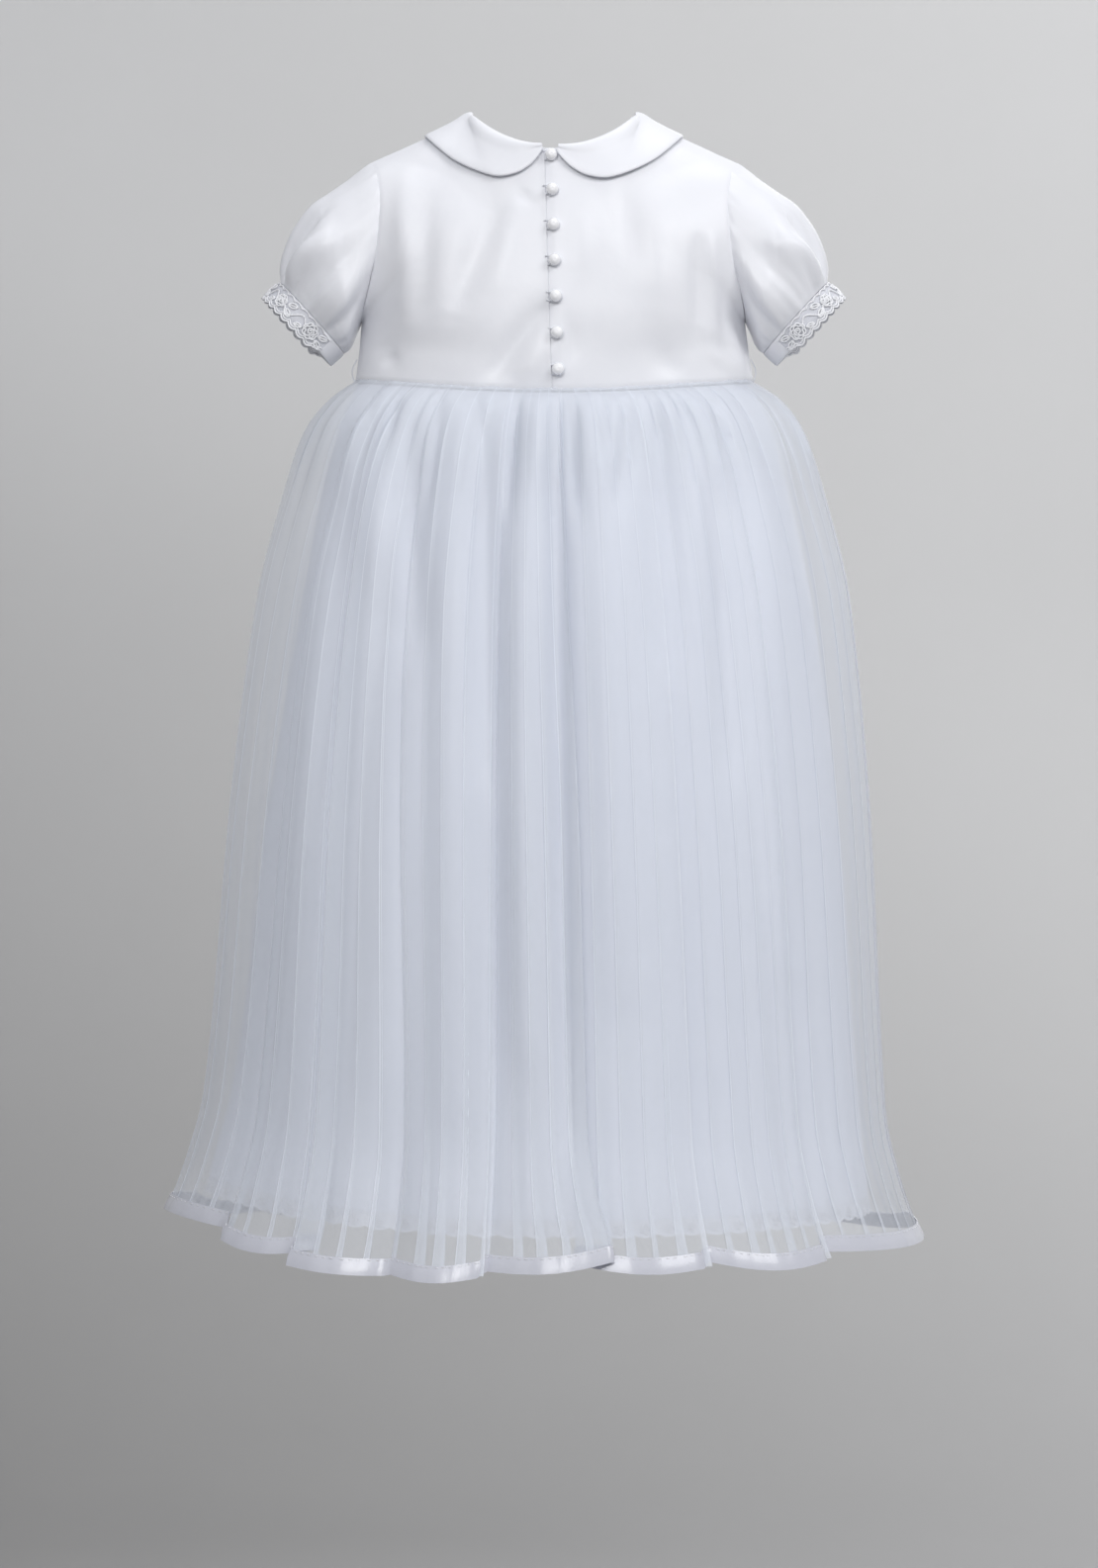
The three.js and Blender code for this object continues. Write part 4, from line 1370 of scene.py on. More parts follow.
@dataclass
class Buttons:
    """Seven pearl buttons, each in a cord loop from the left panel's edge."""

    bodice: Bodice
    count: int = 7
    radius: float = 3.6
    cord: float = 0.5
    loop: float = 3.7
    open_half_angle: float = 44.0
    dimple: tuple[float, float] = (0.12, 0.7)
    sewn: tuple[float, float] = (1.5, 0.9)
    straight: float = 0.6
    shank: float = 0.8

    def _centre(self, node: str) -> Vector:
        """Returns the middle of a solid's box."""
        low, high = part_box(node)
        return (low + high) / 2 / MM

    def _pearl(self, number: int, centre: Vector) -> None:
        """Makes one pearl on its thread shank.

        Args:
            number: the button's number from the top.
            centre: its middle.
        """
        bm = bmesh.new()
        bmesh.ops.create_uvsphere(bm, u_segments=32, v_segments=20, radius=self.radius * MM)
        for vert in bm.verts:
            around = math.hypot(vert.co.x, vert.co.y)
            depth, radius = self.dimple
            vert.co.z *= 1 - depth * max(0.0, 1 - around / (radius * MM))
        bmesh.ops.rotate(bm, verts=bm.verts, matrix=Matrix.Rotation(math.radians(90), 3, "X"))
        bmesh.ops.translate(bm, verts=bm.verts, vec=centre * MM)
        pearl = mesh_object(f"pearl_{number}", bm)
        fit(pearl, PEARL, f"button_{number}")

    def build(self) -> None:
        """Makes the buttons, their loops and their shanks."""
        for number in range(1, self.count + 1):
            centre = self._centre(f"button_{number}")
            y = self._centre(f"button_loop_{number}").y
            self._pearl(number, centre)
            edge = self.bodice.closing_x(centre.z)
            ends = self.open_half_angle
            height = self.loop * math.sin(math.radians(ends))
            under, deep = self.sewn
            path = [Vector((edge - under, y + deep, centre.z + height * 0.9))]
            path.append(Vector((edge + self.straight, y, centre.z + height)))
            for degrees in spaced(15, 180 - ends, ends - 180):
                angle = math.radians(degrees)
                round_it = Vector((self.loop * math.cos(angle), 0, self.loop * math.sin(angle)))
                path.append(centre + round_it)
                path[-1].y = y
            path.append(Vector((edge + self.straight, y, centre.z - height)))
            path.append(Vector((edge - under, y + deep, centre.z - height * 0.9)))
            shank = [Vector((centre.x, y + share, centre.z)) for share in (2.2, 1.0, -0.5)]
            loop = cord_object(f"button_loop_cord_{number}", [path], self.cord)
            fit(loop, CORD, f"button_loop_{number}")
            fit(cord_object(f"button_shank_{number}", [shank], self.shank), CORD)


@dataclass
class SashLoops:
    """The thread loops on the side seams that hold a sash."""

    form: BodyForm
    top_z: float = -151.0
    bottom_z: float = -163.0
    stand: float = 1.8
    cord: float = 0.4
    underarm: tuple[float, float] = (116.5, -128.0)

    def build(self) -> None:
        """Makes the two loops."""
        for side in Side:
            path = []
            for share in spaced(17, -0.06, 1.06):
                z = mix(self.top_z, self.bottom_z, share)
                down = (self.underarm[1] - z) / (self.underarm[1] - self.form.waist_side_z)
                seam = mix(self.underarm[0], self.form.waist_width, down)
                out = 0.1 + self.cord + self.stand * math.sin(math.pi * share)
                path.append(Vector((side.value * (seam + out), 0, z)))
            loop = cord_object(f"sash_loop_cord_{side.word}", [path], self.cord)
            fit(loop, CORD, f"sash_loop_{side.word}")


@dataclass(frozen=True)
class BigFold:
    """One large fold of the skirt: where it begins, how its edges stand, its hem and its pleats."""

    waist: float
    hem: float
    past: float
    out_start: float
    out_end: float
    z_start: float
    z_mid: float
    z_end: float
    pleats: int

    def hem_z(self, share: float) -> float:
        """Returns the hem's height at a share of the fold."""
        bow = self.z_mid - (self.z_start + self.z_end) / 2
        return mix(self.z_start, self.z_end, share) + bow * math.sin(math.pi * share)


@dataclass
class Skirt:
    """The organza skirt: knife pleats over large soft folds, gathered into the waist."""

    form: BodyForm
    crown: float = 6.0
    fold_turn: float = 3.2
    shut_gap: float = 1.2
    back_folds: int = 8
    folds: tuple[BigFold, ...] = (
        BigFold(-100, -104, -1.5, 2, -3, -667, -662, -666, 7),
        BigFold(-54, -56, 3, 4, -5, -672, -677, -674, 4),
        BigFold(-42, -40, -1, 9, -1, -682, -685, -686, 4),
        BigFold(-30, -23.6, -1, 1, 5, -685, -688, -685, 4),
        BigFold(-11, -9.6, 4.7, -2, 7, -682, -682, -676, 5),
        BigFold(2, 3.4, -1, -1, 4, -678, -683, -681, 5),
        BigFold(21, 23.7, -1, -3, 3, -678, -684, -681, 6),
        BigFold(42, 46.2, -0.16, -4, 2, -677, -680, -677, 9),
        BigFold(95, 97, -1, 2, -3, -677, -683, -682, 5),
        BigFold(130, 128, -1, 4, -2, -683, -686, -685, 5),
        BigFold(156, 152, -1, 4, 4, -685, -688, -686, 6),
        BigFold(181, 180, -1, -3, 4, -684, -687, -684, 6),
        BigFold(205, 206, -1, -3, 4, -681, -684, -679, 5),
        BigFold(232, 232, -0.16, -3, 2, -676, -676, -667, 5),
    )
    shape: Profile = Profile(
        ("left", "right", "back", "front", "pleat", "under", "fold", "lap", "gather"),
        (
            (0.0, 121, 121, 62, 62, 0.15, 0.8, 0.0, 0.0, 0.8),
            (0.022, 134, 137, 76, 74, 0.2, 0.9, 0.34, 0.0, 3.4),
            (0.06, 147, 150, 87, 85, 0.25, 1.0, 0.5, 0.0, 4.8),
            (0.13, 158, 161, 98, 95, 0.3, 1.1, 0.75, 0.1, 3.0),
            (0.26, 174, 176, 113, 110, 0.35, 1.3, 0.95, 0.2, 1.4),
            (0.5, 190, 187, 131, 128, 0.4, 1.7, 1.0, 0.4, 0.4),
            (0.86, 206, 196, 149, 146, 0.42, 2.2, 1.05, 0.5, 0.0),
            (0.93, 215, 204, 158, 155, 0.4, 3.0, 1.05, 0.72, 0.0),
            (0.984, 225, 214, 166, 163, 0.3, 4.2, 1.0, 1.0, 0.0),
            (1.0, 229, 218, 169, 166, 0.25, 4.4, 1.0, 1.0, 0.0),
        ),
    )
    knife: tuple[PleatColumn, ...] = (
        (0.0, 0.0, 1.0, 1.0),
        (0.075, 0.0, 0.95, 0.0),
        (0.36, 0.0, 0.4, 0.0),
        (0.72, 0.0, -0.2, 0.0),
        (1.0, 0.35, -0.8, 0.0),
        (1.0, 1.0, -0.9, 0.7),
        (1.0, 0.6, -0.25, 0.0),
        (1.0, 0.12, 0.5, 0.0),
    )
    trimmed: tuple[PleatColumn, ...] = (
        (0.0, 0.0, 1.0, 1.0),
        (0.3, 0.0, 0.55, 0.0),
        (0.6, 0.0, 0.3, 0.0),
        (0.9, 0.0, 0.2, 0.0),
    )
    drape: tuple[Crease, ...] = (
        Crease((-92, -174), (-99, -212), 3.0, -3.4),
        Crease((-66, -176), (-76, -250), 3.4, -5.0),
        Crease((-44, -178), (-43, -214), 2.8, -3.4),
        Crease((-21, -178), (-27, -250), 3.4, -5.4),
        Crease((11, -180), (13, -250), 3.4, -4.6),
        Crease((30, -178), (27, -214), 2.8, -3.4),
        Crease((46, -178), (37, -240), 3.4, -4.4),
        Crease((60, -177), (63, -208), 2.8, -3.2),
        Crease((74, -176), (80, -228), 3.2, -4.0),
        Crease((96, -173), (102, -218), 3.2, -4.0),
        Crease((-54, -176), (-57, -222), 5.0, 2.0),
        Crease((-8, -178), (-10, -230), 5.0, 2.0),
        Crease((20, -178), (16, -226), 5.0, 2.0),
        Crease((-106, -172), (-116, -214), 4.0, -2.4),
        Crease((-112, -205), (-104, -285), 15.0, 4.5),
        Crease((-85, -196), (-80, -330), 8.0, -4.5),
        Crease((-90, -340), (-99, -600), 15.0, 5.0),
        Crease((-62, -190), (-60, -590), 13.0, 3.5),
        Crease((-42, -196), (-41, -400), 8.0, -6.5),
        Crease((-40, -400), (-34, -600), 10.0, -3.0),
        Crease((-21, -180), (-18, -560), 9.0, 5.5),
        Crease((-1, -178), (7, -610), 5.5, -9.0),
        Crease((27, -185), (38, -520), 13.0, 4.5),
        Crease((61, -190), (66, -330), 10.0, -4.0),
        Crease((98, -235), (104, -400), 9.0, -4.5),
        Crease((124, -220), (136, -520), 12.0, 3.5),
        Crease((-136, -250), (-150, -600), 12.0, 3.0),
    )
    top_drops: tuple[float, ...] = (
        -0.005, 0.0, 0.005, 0.011, 0.018, 0.026, 0.036, 0.048, 0.062, 0.08, 0.1,
    )
    hem_drops: tuple[float, ...] = (0.945, 0.958, 0.971, 0.984, 0.992, 1.0)
    overlap: float = 0.3
    tucked: float = -1.6
    fold_share: float = 0.95
    fold_share_lost: float = 0.65
    band_edge: float = 0.6
    wobble: float = 0.05
    rng: random.Random = field(default_factory=lambda: random.Random(7))

    def __post_init__(self) -> None:
        """Draws each pleat's own shift, height and underlap."""
        draw = self.rng.uniform
        self.jitter = [
            [(draw(-0.09, 0.09), draw(0.75, 1.25), draw(0.5, 1.4)) for _ in range(fold.pleats)]
            for fold in self.folds
        ]

    def draped(self, point: Vector, share: float) -> Vector:
        """Moves a point of the skirt or lining by the soft folds that both hang in.

        Args:
            point: the point.
            share: how much of the folds it takes.

        Returns:
            The moved point.
        """
        lift = sum(crease.lift(point.x, point.z) for crease in self.drape)
        facing = ease(-point.y / 60.0) if point.y < 0 else -ease(point.y / 60.0)
        return point + self.form.outwards(point) * lift * share * facing

    def _starts(self, drop: float, lap: float) -> list[tuple[float, float, float]]:
        """Finds where each fold begins and ends at a section.

        Args:
            drop: the share of the way from the waist to the hem.
            lap: the share of the hem's overlaps that is there.

        Returns:
            For each fold its first angle, its last angle, and the next fold's first angle.
        """
        spread = ease(drop)
        first = [mix(fold.waist, fold.hem, spread) for fold in self.folds]
        after = first[1:] + [first[0] + 360]
        bounds = []
        for fold, begin, following in zip(self.folds, first, after):
            past = fold.past
            if past > 0:
                past = past * lap - self.shut_gap * (1 - lap)
            bounds.append((begin, following + past, following))
        return bounds

    def _seen(self, point: Vector, drop: float) -> float:
        """Returns how much a pressed edge shows, least near the waist and on the right."""
        right = 1.0 if point.x < 0 else mix(1.0, 0.4, ease(point.x / 60))
        return mix(0.2, 1.0, ease(drop, 0.1, 0.8)) * right

    def ring(self, drop: float, template: Sequence[PleatColumn]) -> tuple[Ring, list[float], int]:
        """Finds one ring of the skirt, fold by fold.

        Args:
            drop: the share of the way from the waist to the hem.
            template: one pleat's columns: share of its pitch, share of its underlap, height, edge.

        Returns:
            The ring's points, how much of a pressed edge each is, and how many are the back's.
        """
        row = self.shape.at(max(drop, 0.0))
        points: Ring = []
        edges: list[float] = []
        back_count = 0

        def put(degrees: float, out: float, hem_z: float, edge: float) -> None:
            """Adds the ring's next point.

            Args:
                degrees: the angle round the gown.
                out: how far outside the section.
                hem_z: the hem's height there.
                edge: how much of a pressed edge it is.
            """
            out += row["gather"] * self._gather(degrees, drop)
            tuck = self.tucked if drop < 0 else 0.9 * hump(drop, 0.006, 0.006)
            point = ellipse_point(degrees, row, out + tuck)
            point.z = mix(self.form.waist_z(degrees) + self.overlap, hem_z, drop)
            kept = self.fold_share - self.fold_share_lost * ease(drop, 0.75, 1.0)
            points.append(self.draped(point, ease(drop, 0, 0.03) * kept))
            band = self.band_edge * (1 - ease(drop, 0.0, 0.13))
            edges.append(edge * self._seen(point, drop) + band)

        bounds = self._starts(drop, row["lap"])
        for index, (fold, (begin, end, following)) in enumerate(zip(self.folds, bounds)):
            if index == self.back_folds:
                back_count = len(points)
            after = self.folds[(index + 1) % len(self.folds)]
            seam = index in (self.back_folds - 1, len(self.folds) - 1)
            sideways = abs(math.sin(math.radians(begin)))
            radius = mix(row["back"], (row["left"] + row["right"]) / 2, sideways)
            degree_length = radius * math.pi / 180
            for pleat in range(fold.pleats):
                shift, height, width = self.jitter[index][pleat]
                last = pleat == fold.pleats - 1
                for pitch, under, rise, edge in template:
                    if last and under and (seam or fold.past > 0):
                        pitch, under = 1.0, 0.0
                    wander = shift * ease(drop, 0, 0.3) * (1 - pitch) if pleat else 0.0
                    if not last:
                        wander += self.jitter[index][pleat + 1][0] * ease(drop, 0, 0.3) * pitch
                    place = Vector((index * 9 + pleat + pitch, drop * 3.0, 0))
                    wobble = self.wobble * noise.noise(place)
                    share = (pleat + pitch + wander + wobble) / fold.pleats
                    degrees = mix(begin, end, share) + under * width * row["under"] / degree_length
                    inner = min(max(share, 0.0), 1.0)
                    lean = mix(fold.out_start, fold.out_end, inner)
                    lean += self.crown * math.sin(math.pi * inner)
                    out = row["fold"] * lean + rise * height * row["pleat"]
                    put(degrees, out, fold.hem_z(inner), edge)
            if fold.past > 0:
                self._turn(put, row, fold, after, end, following)
        first = points[0].copy()
        return points + [first], edges + [edges[0]], back_count

    def _gather(self, degrees: float, drop: float) -> float:
        """Works out the waist's uneven gathers.

        Args:
            degrees: the angle round the gown.
            drop: the share of the way from the waist to the hem.

        Returns:
            The gathers' height, about -1 to 1.
        """
        angle = math.radians(degrees)
        place = Vector((math.cos(angle), math.sin(angle), 0))
        bunched = 0.6 + 0.8 * abs(noise.noise(place * 3.0))
        wide = noise.noise(place * 9.0 + Vector((0, 0, drop * 1.6)))
        narrow = noise.noise(place * 22.0 + Vector((5, 0, drop * 2.2)))
        return bunched * (1.3 * wide + 0.9 * narrow)

    def _turn(
        self, put: Callable[..., None], row: dict[str, float], fold: BigFold, after: BigFold,
        end: float, following: float,
    ) -> None:
        """Adds the cloth's turn back where one large fold laps another.

        Args:
            put: adds one point.
            row: the section's sizes.
            fold: the fold that ends.
            after: the fold that begins.
            end: the angle where the first one ends.
            following: the angle where the next one begins.
        """
        high, low = row["fold"] * fold.out_end, row["fold"] * after.out_start
        turn = self.fold_turn * row["lap"] * math.copysign(1.0, after.out_start - fold.out_end)
        gap = 0.4 * (1 - row["lap"])
        handle = 1.6 * row["lap"]
        stops = (
            (end + gap, high),
            (end + gap + handle, high + turn),
            (following - gap - handle, low - turn),
            (following - gap, low),
        )
        for t in spaced(12):
            weights = ((1 - t) ** 3, 3 * t * (1 - t) ** 2, 3 * t * t * (1 - t), t**3)
            degrees = sum(w * stop[0] for w, stop in zip(weights, stops))
            out = sum(w * stop[1] for w, stop in zip(weights, stops))
            hem_z = mix(fold.hem_z(1.0), after.hem_z(0.0), ease(t, 0.6, 1.0))
            put(degrees, out, hem_z, 0.5 * row["lap"] * hump(t, 0.2, 0.12))

    def build(self) -> None:
        """Makes the back and the front of the skirt."""
        drops = [*self.top_drops, *spaced(38, 0.122, 0.93), *self.hem_drops]
        made = [self.ring(drop, self.knife) for drop in drops]
        count = made[0][2]
        last_column = len(made[0][0]) - 1
        cuts = (("back", 0, count, 1.0, 0.45), ("front", count, last_column, 0.8, 0.35))
        for word, first, last, width, area in cuts:
            rows = [ring[first:last] for ring, _, _ in made]
            marks = {"pressed_edge": [edges[first:last] for _, edges, _ in made]}
            name = f"organza_{word}"
            piece = Cloth(name, rows, woven=(940.0, 520.0), marks=marks, crisp=True).make()
            fit(piece, ORGANZA, f"skirt_organza_{word}")


@dataclass
class HemRibbon:
    """The satin ribbon sewn along the organza's hem, with its line of stitches."""

    skirt: Skirt
    top: float = 0.9835
    bottom: float = 1.0017
    off: float = 0.9
    bulge: float = 0.35
    wall: float = 0.35
    stitch_pitch: float = 2.8
    stitch_length: float = 1.9
    stitch_radius: float = 0.17

    def _ring(self, share: float, extra: float = 0.0) -> Ring:
        """Returns the ribbon's ring at a share of its width, from the top."""
        ring, _, _ = self.skirt.ring(mix(self.top, self.bottom, share), self.skirt.trimmed)
        return offset_ring(ring, self.off + extra + self.bulge * math.sin(math.pi * share))

    def build(self) -> None:
        """Makes the ribbon and its stitches."""
        rows = [self._ring(share) for share in spaced(9)]
        piece = Cloth("ribbon_hem", rows, closed=True, woven=(1400.0, 9.0)).make()
        thicken(piece, self.wall)
        fit(piece, RIBBON_SATIN, "hem_ribbon")
        stitches = []
        line = self._ring(0.11, 0.12)
        walked, start = 0.0, line[0]
        for before, after in zip(line, line[1:]):
            walked += (after - before).length
            if walked >= self.stitch_pitch:
                way = (after - before).normalized() * self.stitch_length
                stitches.append([after - way, after - way * 0.5 + Vector((0, 0, 0.05)), after])
                walked = 0.0
        seam = cord_object("ribbon_stitches", stitches, self.stitch_radius)
        fit(seam, LACE_THREAD)


@dataclass
class Lining:
    """The satin lining skirt in soft folds, with lace along its edge."""

    form: BodyForm
    skirt: Skirt
    wall: float = 0.8
    hem_z: dict[str, float] = field(
        default_factory=lambda: {"left": -642.0, "right": -654.0, "back": -656.0, "front": -656.0}
    )
    fold_depth: float = 3.0
    slow_wave: float = 1.6
    fine_wave: float = 0.9
    lowered: float = 1.2
    lace_height: float = 9.0
    lace_lap: float = 0.8
    lace_flare: float = 2.0
    scallops: int = 80
    scallop_depth: float = 1.8
    rosette_down: float = 6.0
    rosettes: tuple[tuple[int, float], ...] = ((5, 3.0), (3, 1.2))
    degree_length: float = 2.9
    lace_cord: float = 0.24
    shape: Profile = Profile(
        ("left", "right", "back", "front", "fold"),
        (
            (0.0, 119.2, 119.2, 60.2, 60.2, 0.0),
            (0.05, 129, 131, 70, 68, 0.25),
            (0.14, 140, 143, 80, 78, 0.5),
            (0.3, 154, 158, 94, 92, 0.7),
            (0.55, 173, 172, 111, 108, 0.85),
            (0.87, 191, 183, 130, 127, 1.0),
            (1.0, 206, 189, 141, 138, 1.2),
        ),
    )

    def _bottom(self, degrees: float) -> float:
        """Finds the lining hem's height.

        Args:
            degrees: the angle round the gown.

        Returns:
            The height.
        """
        across, away = math.sin(math.radians(degrees)), math.cos(math.radians(degrees))
        side = self.hem_z["left"] if across < 0 else self.hem_z["right"]
        middle = self.hem_z["back"] if away > 0 else self.hem_z["front"]
        return mix(side, middle, away * away)

    def _fold_share(self, degrees: float, drop: float) -> float:
        """Works out where on a large fold an angle lies.

        Args:
            degrees: the angle round the gown.
            drop: the share of the way from the waist to the hem.

        Returns:
            1 on the fold's crown and 0 in the hollow beside it.
        """
        spread = ease(drop)
        first = [mix(fold.waist, fold.hem, spread) for fold in self.skirt.folds]
        turned = (degrees - first[0]) % 360 + first[0]
        index = max(i for i, begin in enumerate(first) if begin <= turned + 1e-9)
        end = first[index + 1] if index + 1 < len(first) else first[0] + 360
        share = min(max((turned - first[index]) / (end - first[index]), 0.0), 1.0)
        return math.sin(math.pi * share)

    def point(self, degrees: float, drop: float, out: float = 0.0) -> Vector:
        """Finds a point of the lining.

        Args:
            degrees: the angle round the gown.
            drop: the share of the way from the waist to the lining's hem.
            out: how far outside the lining.

        Returns:
            The point.
        """
        row = self.shape.at(min(drop, 1.0))
        angle = math.radians(degrees)
        wave = self.fold_depth * row["fold"] * (self._fold_share(degrees, drop) - 0.5)
        slow = noise.noise(Vector((2.4 * math.cos(angle), 2.4 * math.sin(angle), 1.2 * drop)))
        fine = noise.noise(Vector((7 * math.cos(angle), 7 * math.sin(angle), 2.0 * drop)))
        wave += row["fold"] * (self.slow_wave * slow + self.fine_wave * fine)
        point = ellipse_point(degrees, row, wave + out)
        point.z = mix(self.form.waist_z(degrees), self._bottom(degrees), drop) - self.lowered
        return self.skirt.draped(point, ease(drop, 0, 0.07) * (1 - 0.5 * ease(drop, 0.8, 1.0)))

    def build(self) -> None:
        """Makes the two halves of the lining and the lace."""
        drops = [0.0, 0.01, 0.025] + spaced(40, 0.045, 1.0)
        for word, begin in (("back", -90), ("front", 90)):
            turns = spaced(181, begin, begin + 180)
            rows = [[self.point(degrees, drop) for degrees in turns] for drop in drops]
            piece = Cloth(f"lining_{word}", rows, woven=(560.0, 470.0)).make()
            thicken(piece, self.wall)
            fit(piece, LINING_SATIN, f"skirt_lining_{word}")
        self._lace()

    def _lace(self) -> None:
        """Makes the lining's lace: a scalloped net with rosettes and a corded edge."""
        turns = spaced(self.scallops * 8 + 1, 0, 360)

        def place(degrees: float, down: float, lift: float) -> Vector:
            """Returns the lace's point at an angle and a length down from the hem."""
            flare = self.lace_flare * down / self.lace_height
            return self.point(degrees, 1.0, lift + flare) - Vector((0, 0, down - self.lace_lap))

        def edge(degrees: float) -> float:
            """Returns the lace's length at an angle, in scallops."""
            wave = abs(math.sin(math.radians(degrees * self.scallops / 2)))
            return self.lace_height + self.scallop_depth * wave

        rows = []
        for share in spaced(6):
            rows.append([place(degrees, edge(degrees) * share, -0.35) for degrees in turns[:-1]])
            rows[-1].append(rows[-1][0].copy())
        net = Cloth("lining_lace_net", rows, closed=True, woven=(1150.0, 10.0)).make()
        fit(net, LINING_LACE, "lining_lace")
        paths = [[place(degrees, edge(degrees), -0.2) for degrees in turns[:-1]]]
        step = 360 / self.scallops
        for i in range(self.scallops):
            for petals, size in self.rosettes:
                flower = []
                for j in range(15):
                    angle = math.radians(360 * j / 15)
                    reach = size * (0.8 + 0.25 * math.cos(petals * angle))
                    degrees = (i + 0.5) * step + reach * math.cos(angle) / self.degree_length
                    flower.append(place(degrees, self.rosette_down + reach * math.sin(angle), -0.1))
                paths.append(flower)
        cords = cord_object("lining_lace_cords", paths, self.lace_cord, closed=True)
        fit(cords, LACE_THREAD)


@dataclass(frozen=True)
class Lamp:
    """A square soft light of the studio."""

    name: str
    place: tuple[float, float, float]
    size: float
    power: float
    colour: Colour = (1.0, 1.0, 1.0)
    aim: tuple[float, float, float] = (0.0, 0.0, -0.35)


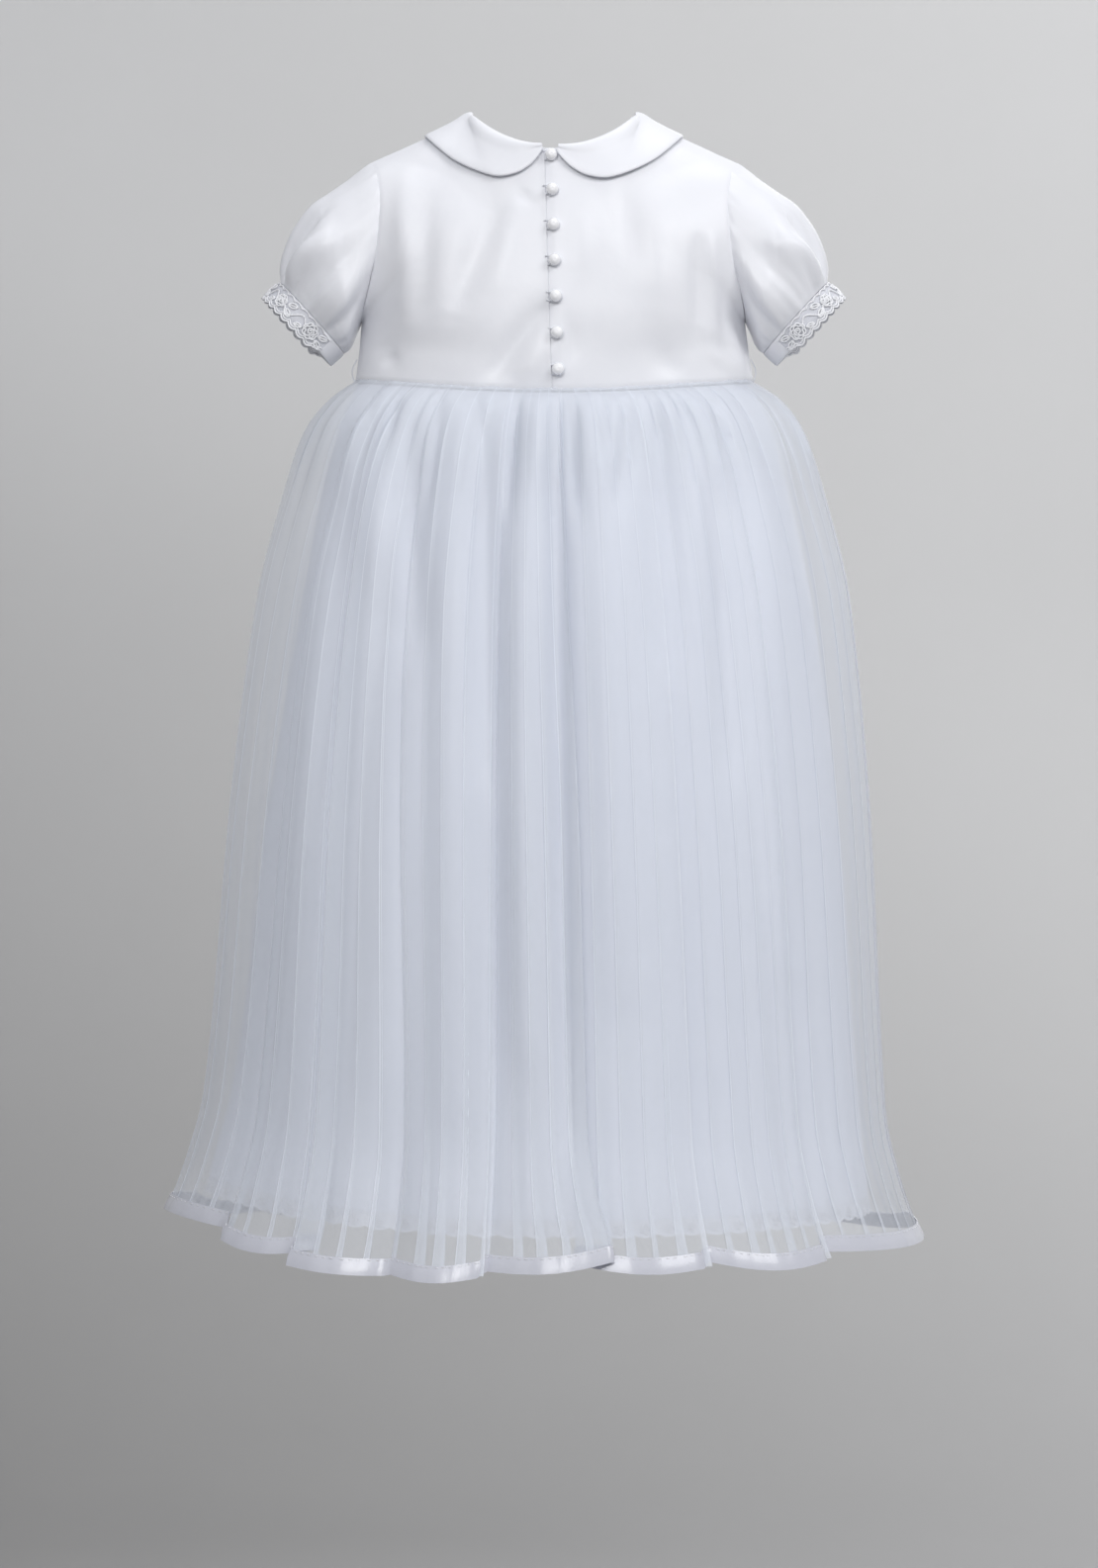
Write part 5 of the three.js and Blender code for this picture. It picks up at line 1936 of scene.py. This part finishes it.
@dataclass
class Studio:
    """The pale round backdrop, its paper painted lighter up and to the right, the soft lights and the
    camera.
    """

    floor_z: float = -1.6
    radius: float = 5.5
    bend: float = 1.6
    wall_top: float = 3.4
    camera_place: tuple[float, float, float] = (-0.003, -2.4, -0.4077)
    lens: float = 90.85
    # Painted light on the backdrop: its colour runs from a painted shade to a painted lit tone along a
    # slant across and up.
    paper_painted_shade: Colour = (0.33, 0.325, 0.32)
    paper_painted_light: Colour = (0.84, 0.84, 0.84)
    painted_light_left_stop: float = -1.2
    painted_light_slant: tuple[float, float] = (0.17, 0.38)
    painted_light_middle: float = 0.81
    painted_light_most: float = 0.86
    paper_grain: float = 0.04
    room_colour: Colour = (0.93, 0.95, 1.0)
    room_strength: float = 0.5
    lamps: tuple[Lamp, ...] = (
        Lamp("key_light", (2.0, -1.9, 1.7), 1.4, 37.0),
        Lamp("camera_side_light", (-0.5, -3.3, 1.3), 1.4, 44.0, aim=(0.0, 0.0, 0.0)),
        Lamp("left_fill", (-2.0, -1.8, 0.9), 1.8, 4.0, (0.95, 0.97, 1.0)),
        Lamp("top_light", (0.3, 0.4, 2.2), 1.6, 14.0),
        Lamp("front_light", (0.6, 2.6, 0.8), 2.0, 16.0),
        Lamp("backdrop_light", (1.8, 2.2, 2.6), 2.4, 63.0, aim=(2.2, 5.5, 0.2)),
    )

    def _backdrop(self) -> None:
        """Makes the floor that curves up into a round wall."""
        bm = bmesh.new()
        corners = [Vector((0.0, 0, self.floor_z)), Vector((self.radius - self.bend, 0, self.floor_z))]
        for degrees in spaced(14, 0, 90)[1:]:
            angle = math.radians(degrees)
            x = self.radius - self.bend + self.bend * math.sin(angle)
            corners.append(Vector((x, 0, self.floor_z + self.bend * (1 - math.cos(angle)))))
        corners.append(Vector((self.radius, 0, self.wall_top)))
        verts = [bm.verts.new(corner) for corner in corners]
        edges = [bm.edges.new(pair) for pair in zip(verts, verts[1:])]
        bmesh.ops.spin(
            bm, geom=verts + edges, cent=(0, 0, 0), axis=(0, 0, 1), angle=math.tau, steps=72,
            use_merge=True,
        )
        bmesh.ops.remove_doubles(bm, verts=bm.verts, dist=1e-5)
        bmesh.ops.recalc_face_normals(bm, faces=bm.faces)
        upward = sum(face.normal.z for face in bm.faces)
        if upward < 0:
            bmesh.ops.reverse_faces(bm, faces=bm.faces)
        backdrop = mesh_object("studio_backdrop", bm)
        backdrop.data.materials.append(self._paper())

    def _paper(self) -> bpy.types.Material:
        """Makes the backdrop's pale grey paper, with painted light: its colour is graded lighter towards
        the upper right and darker lower down.

        Returns:
            The material.
        """
        paper = bpy.data.materials.new("backdrop_paper_painted_light")
        paper.use_nodes = True
        tree = NodeTree(paper.node_tree)
        shader = paper.node_tree.nodes["Principled BSDF"]
        shader.inputs["Roughness"].default_value = 0.9
        shader.inputs["Specular IOR Level"].default_value = 0.1
        coordinates = tree.add("ShaderNodeTexCoord")
        split = tree.add("ShaderNodeSeparateXYZ")
        tree.join(coordinates.outputs["Object"], split.inputs[0])
        # Painted light: the paper is coloured paler up and to the right and deeper lower down and to the
        # left, standing in for how the lamps fall on it.
        across = tree.math("MAXIMUM", split.outputs[0], self.painted_light_left_stop)
        painted_slant = tree.math("ADD", tree.math("MULTIPLY", across, self.painted_light_slant[0]),
                          tree.math("MULTIPLY", split.outputs[2], self.painted_light_slant[1]))
        raised = tree.math("ADD", painted_slant, self.painted_light_middle)
        share = tree.math("MAXIMUM", tree.math("SMOOTH_MIN", raised, self.painted_light_most, 0.15), 0.0)
        grain = tree.noise(coordinates.outputs["Object"], 3.0, 4.0)
        speckle = tree.math("MULTIPLY", tree.math("SUBTRACT", grain, 0.5), self.paper_grain)
        grained = tree.math("ADD", share, speckle)
        blend = tree.add("ShaderNodeMix", data_type="RGBA")
        tree.join(grained, blend.inputs["Factor"])
        blend.inputs["A"].default_value = (*self.paper_painted_shade, 1.0)
        blend.inputs["B"].default_value = (*self.paper_painted_light, 1.0)
        tree.join(blend.outputs["Result"], shader.inputs["Base Color"])
        return paper

    def _light(self) -> None:
        """Hangs the lamps and sets the room's even light."""
        for lamp in self.lamps:
            light = bpy.data.lights.new(lamp.name, "AREA")
            light.shape = "SQUARE"
            light.size = lamp.size
            light.energy = lamp.power
            light.color = lamp.colour
            holder = bpy.data.objects.new(lamp.name, light)
            holder.location = lamp.place
            aim = Vector(lamp.aim) - Vector(lamp.place)
            holder.rotation_euler = aim.to_track_quat("-Z", "Y").to_euler()
            bpy.context.scene.collection.objects.link(holder)
        world = bpy.data.worlds.new("studio_room")
        world.use_nodes = True
        sky = world.node_tree.nodes["Background"]
        sky.inputs["Color"].default_value = (*self.room_colour, 1.0)
        sky.inputs["Strength"].default_value = self.room_strength
        bpy.context.scene.world = world

    def _camera(self) -> None:
        """Places the camera square to the gown's back."""
        data = bpy.data.cameras.new("photo_camera")
        data.sensor_fit = "VERTICAL"
        data.sensor_height = 36.0
        data.lens = self.lens
        camera = bpy.data.objects.new("photo_camera", data)
        camera.location = self.camera_place
        camera.rotation_euler = (math.radians(90), 0, 0)
        bpy.context.scene.collection.objects.link(camera)
        bpy.context.scene.camera = camera

    def build(self) -> None:
        """Makes the studio."""
        self._camera()
        self._backdrop()
        self._light()
        scene = bpy.context.scene
        scene.view_settings.view_transform = "Standard"
        scene.cycles.transparent_max_bounces = 40


def main() -> None:
    """Builds the gown piece by piece."""
    logging.basicConfig(level=logging.INFO, format="%(message)s")
    Studio().build()
    form = BodyForm()
    bodice = Bodice(form)
    skirt = Skirt(form)
    builders = [bodice, Collar(form), *(Sleeve(form, bodice, side) for side in Side)]
    builders += [Buttons(bodice), SashLoops(form), skirt, HemRibbon(skirt), Lining(form, skirt)]
    for builder in builders:
        builder.build()
        LOG.info("%s done", type(builder).__name__)


if __name__ == "__main__":
    main()
